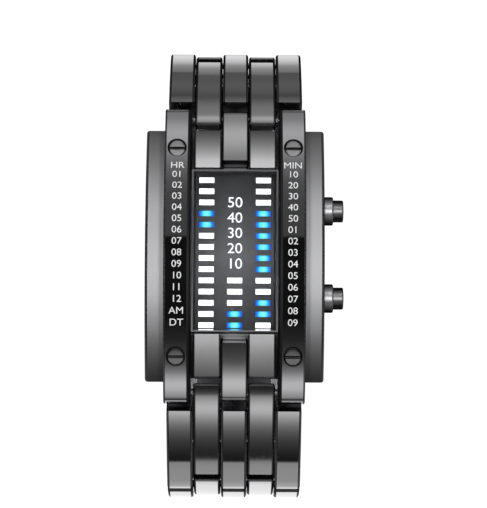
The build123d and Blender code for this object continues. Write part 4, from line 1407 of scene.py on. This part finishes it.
def make_floor_material():
    """Pale paint that glows for straight views, and shows polished steel a row of levels."""
    material, tree, shader = new_material("pale floor")
    set_inputs(tree, shader, {"Base Color": grey(floor_tone), "Roughness": 0.5, "Specular IOR Level": 0.2})
    rays = add_node(tree, "ShaderNodeLightPath").outputs
    axes = axes_of(tree, object_place(tree))
    across, along = (
        math_node(tree, "POWER", math_node(tree, "DIVIDE", axes[axis], half), 2)
        for axis, half in ((0, covered_half_width), (1, covered_half_length))
    )
    uncovered = map_range(tree, math_node(tree, "ADD", across, along), covered_edge, 1.0)
    seen = math_node(tree, "MULTIPLY", rays["Is Camera Ray"], uncovered)
    for kind in ("Is Glossy Ray", "Is Transmission Ray"):
        seen = math_node(tree, "ADD", seen, rays[kind], clamp=True)
    stops = [((place + levels_reach) / (2 * levels_reach), grey(level)) for place, level in floor_levels]
    shown = color_ramp(tree, map_range(tree, axes[1], -levels_reach, levels_reach), stops)
    color = mix_colors(tree, rays["Is Glossy Ray"], grey(1), shown)
    glow = add_node(tree, "ShaderNodeEmission", {"Color": color, "Strength": floor_glow})
    amount = math_node(tree, "MULTIPLY", seen, glow_share)
    both = add_node(tree, "ShaderNodeMixShader", {0: amount, 1: shader.outputs[0], 2: glow.outputs[0]})
    set_inputs(tree, tree.nodes["Material Output"], {"Surface": both.outputs[0]})
    return material


floor_data = bpy.data.meshes.new("floor")
ways = ((-1, -1), (1, -1), (1, 1), (-1, 1))
corners = [(x * floor_half, y * floor_half, cad_box[0][2]) for x, y in ways]
floor_data.from_pydata(corners, [], [(0, 1, 2, 3)])
floor_data.materials.append(make_floor_material())
new_object("floor", floor_data)
print("floor at:", round(cad_box[0][2] / mm, 2), "mm")

# %% Room that the steel shows
room_levels = (
    (-180, 0.32), (-90.5, 0.32), (-90, 0.012), (-85, 0.025), (-81, 0.045), (-77, 0.07), (-72, 0.14),
    (-68, 0.26), (-64, 0.48), (-61, 0.72), (-58, 0.74), (-55, 0.52), (-52, 0.28), (-48, 0.11),
    (-44, 0.07), (-36, 0.028), (-28, 0.014), (-25, 0.008), (13.5, 0.008), (14, 0.075), (25, 0.08),
    (33, 0.09), (41, 0.12), (49, 0.20), (57, 0.34), (63, 0.52), (68, 0.58), (72, 0.50), (77, 0.32),
    (82, 0.27), (86, 0.24), (91, 0.12),
)
side_start, side_full = 0.45, 0.75
side_level = 0.15
even_level = 0.45
world = bpy.data.worlds.new("studio")
bpy.context.scene.world = world
world.use_nodes = True
tree = world.node_tree
axes = axes_of(tree, add_node(tree, "ShaderNodeTexCoord").outputs["Generated"])
lean = map_range(tree, math_node(tree, "ARCTAN2", axes[1], axes[2]), -pi, pi)
color = color_ramp(tree, lean, [((angle + 180) / 360, grey(level)) for angle, level in room_levels])
rays = add_node(tree, "ShaderNodeLightPath").outputs
sideways = map_range(tree, math_node(tree, "ABSOLUTE", axes[0]), side_start, side_full)
scattered = math_node(tree, "GREATER_THAN", rays["Diffuse Depth"], 0.5)
turned_back = math_node(tree, "ADD", rays["Diffuse Depth"], rays["Glossy Depth"])
clear = math_node(tree, "ADD", rays["Is Camera Ray"], rays["Is Transmission Ray"], clamp=True)
straight = math_node(tree, "MULTIPLY", clear, math_node(tree, "LESS_THAN", turned_back, 0.5))
for factor, level in ((sideways, side_level), (scattered, even_level), (straight, 1.0)):
    color = mix_colors(tree, factor, color, grey(level))
set_inputs(tree, tree.nodes["Background"], {"Color": color})
print("room levels:", len(room_levels))

# %% [markdown]
# A room alone lights dull faces too evenly to show how they slope. Four soft panels hang over the
# watch, two on either side. They shade its shoulders and give it a shadow.

# %% Soft panels at both sides
panel_size = (0.12, 0.10)
panel_distance = 0.63
panel_aside = 0.16
panels = ((-6, 1.00), (35, 0.42))
for lean_degrees, power in panels:
    for side in (-1, 1):
        lamp_data = bpy.data.lights.new("side panel", "AREA")
        lamp_data.shape = "RECTANGLE"
        lamp_data.size, lamp_data.size_y = panel_size
        lamp_data.energy = power
        lamp = new_object("side panel", lamp_data)
        across, along = polar((0, 0), panel_distance, radians(lean_degrees))
        lamp.location = (side * panel_aside, along, across)
        lamp.rotation_euler = lamp.location.to_track_quat("Z", "Y").to_euler()
print("panels:", 2 * len(panels))

# %% [markdown]
# The camera stands half a metre above the glass and leans 7.5 degrees towards six o'clock. The
# focal length comes from the size of the watch in the photograph, and a small shift puts the
# window where it is there.

# %% Camera
view_distance = 0.500
view_elevation = radians(82.5)
view_roll = radians(0.3)
glass_top = 0.0099
frame_width, frame_height = 487, 508
focal_pixels = 2710
glass_pixel = (234.8, 250.5)
sensor_width = 36.0
camera_data = bpy.data.cameras.new("camera")
camera_data.sensor_fit = "HORIZONTAL"
camera_data.sensor_width = sensor_width
camera_data.lens = sensor_width * focal_pixels / frame_width
camera_data.shift_x = (frame_width / 2 - glass_pixel[0]) / frame_width
camera_data.shift_y = (glass_pixel[1] - frame_height / 2) / frame_width
camera_data.clip_start = 0.01
camera = new_object("camera", camera_data)
towards = Vector((0, -cos(view_elevation), sin(view_elevation)))
camera.location = Vector((0, 0, glass_top)) + view_distance * towards
camera.rotation_mode = "QUATERNION"
roll = Matrix.Rotation(view_roll, 3, "Z").to_quaternion()
camera.rotation_quaternion = towards.to_track_quat("Z", "Y") @ roll
bpy.context.scene.camera = camera
bpy.context.scene.view_settings.view_transform = "Standard"
print("focal length in mm:", round(camera_data.lens, 1))

# %% Finish
bpy.context.view_layer.update()
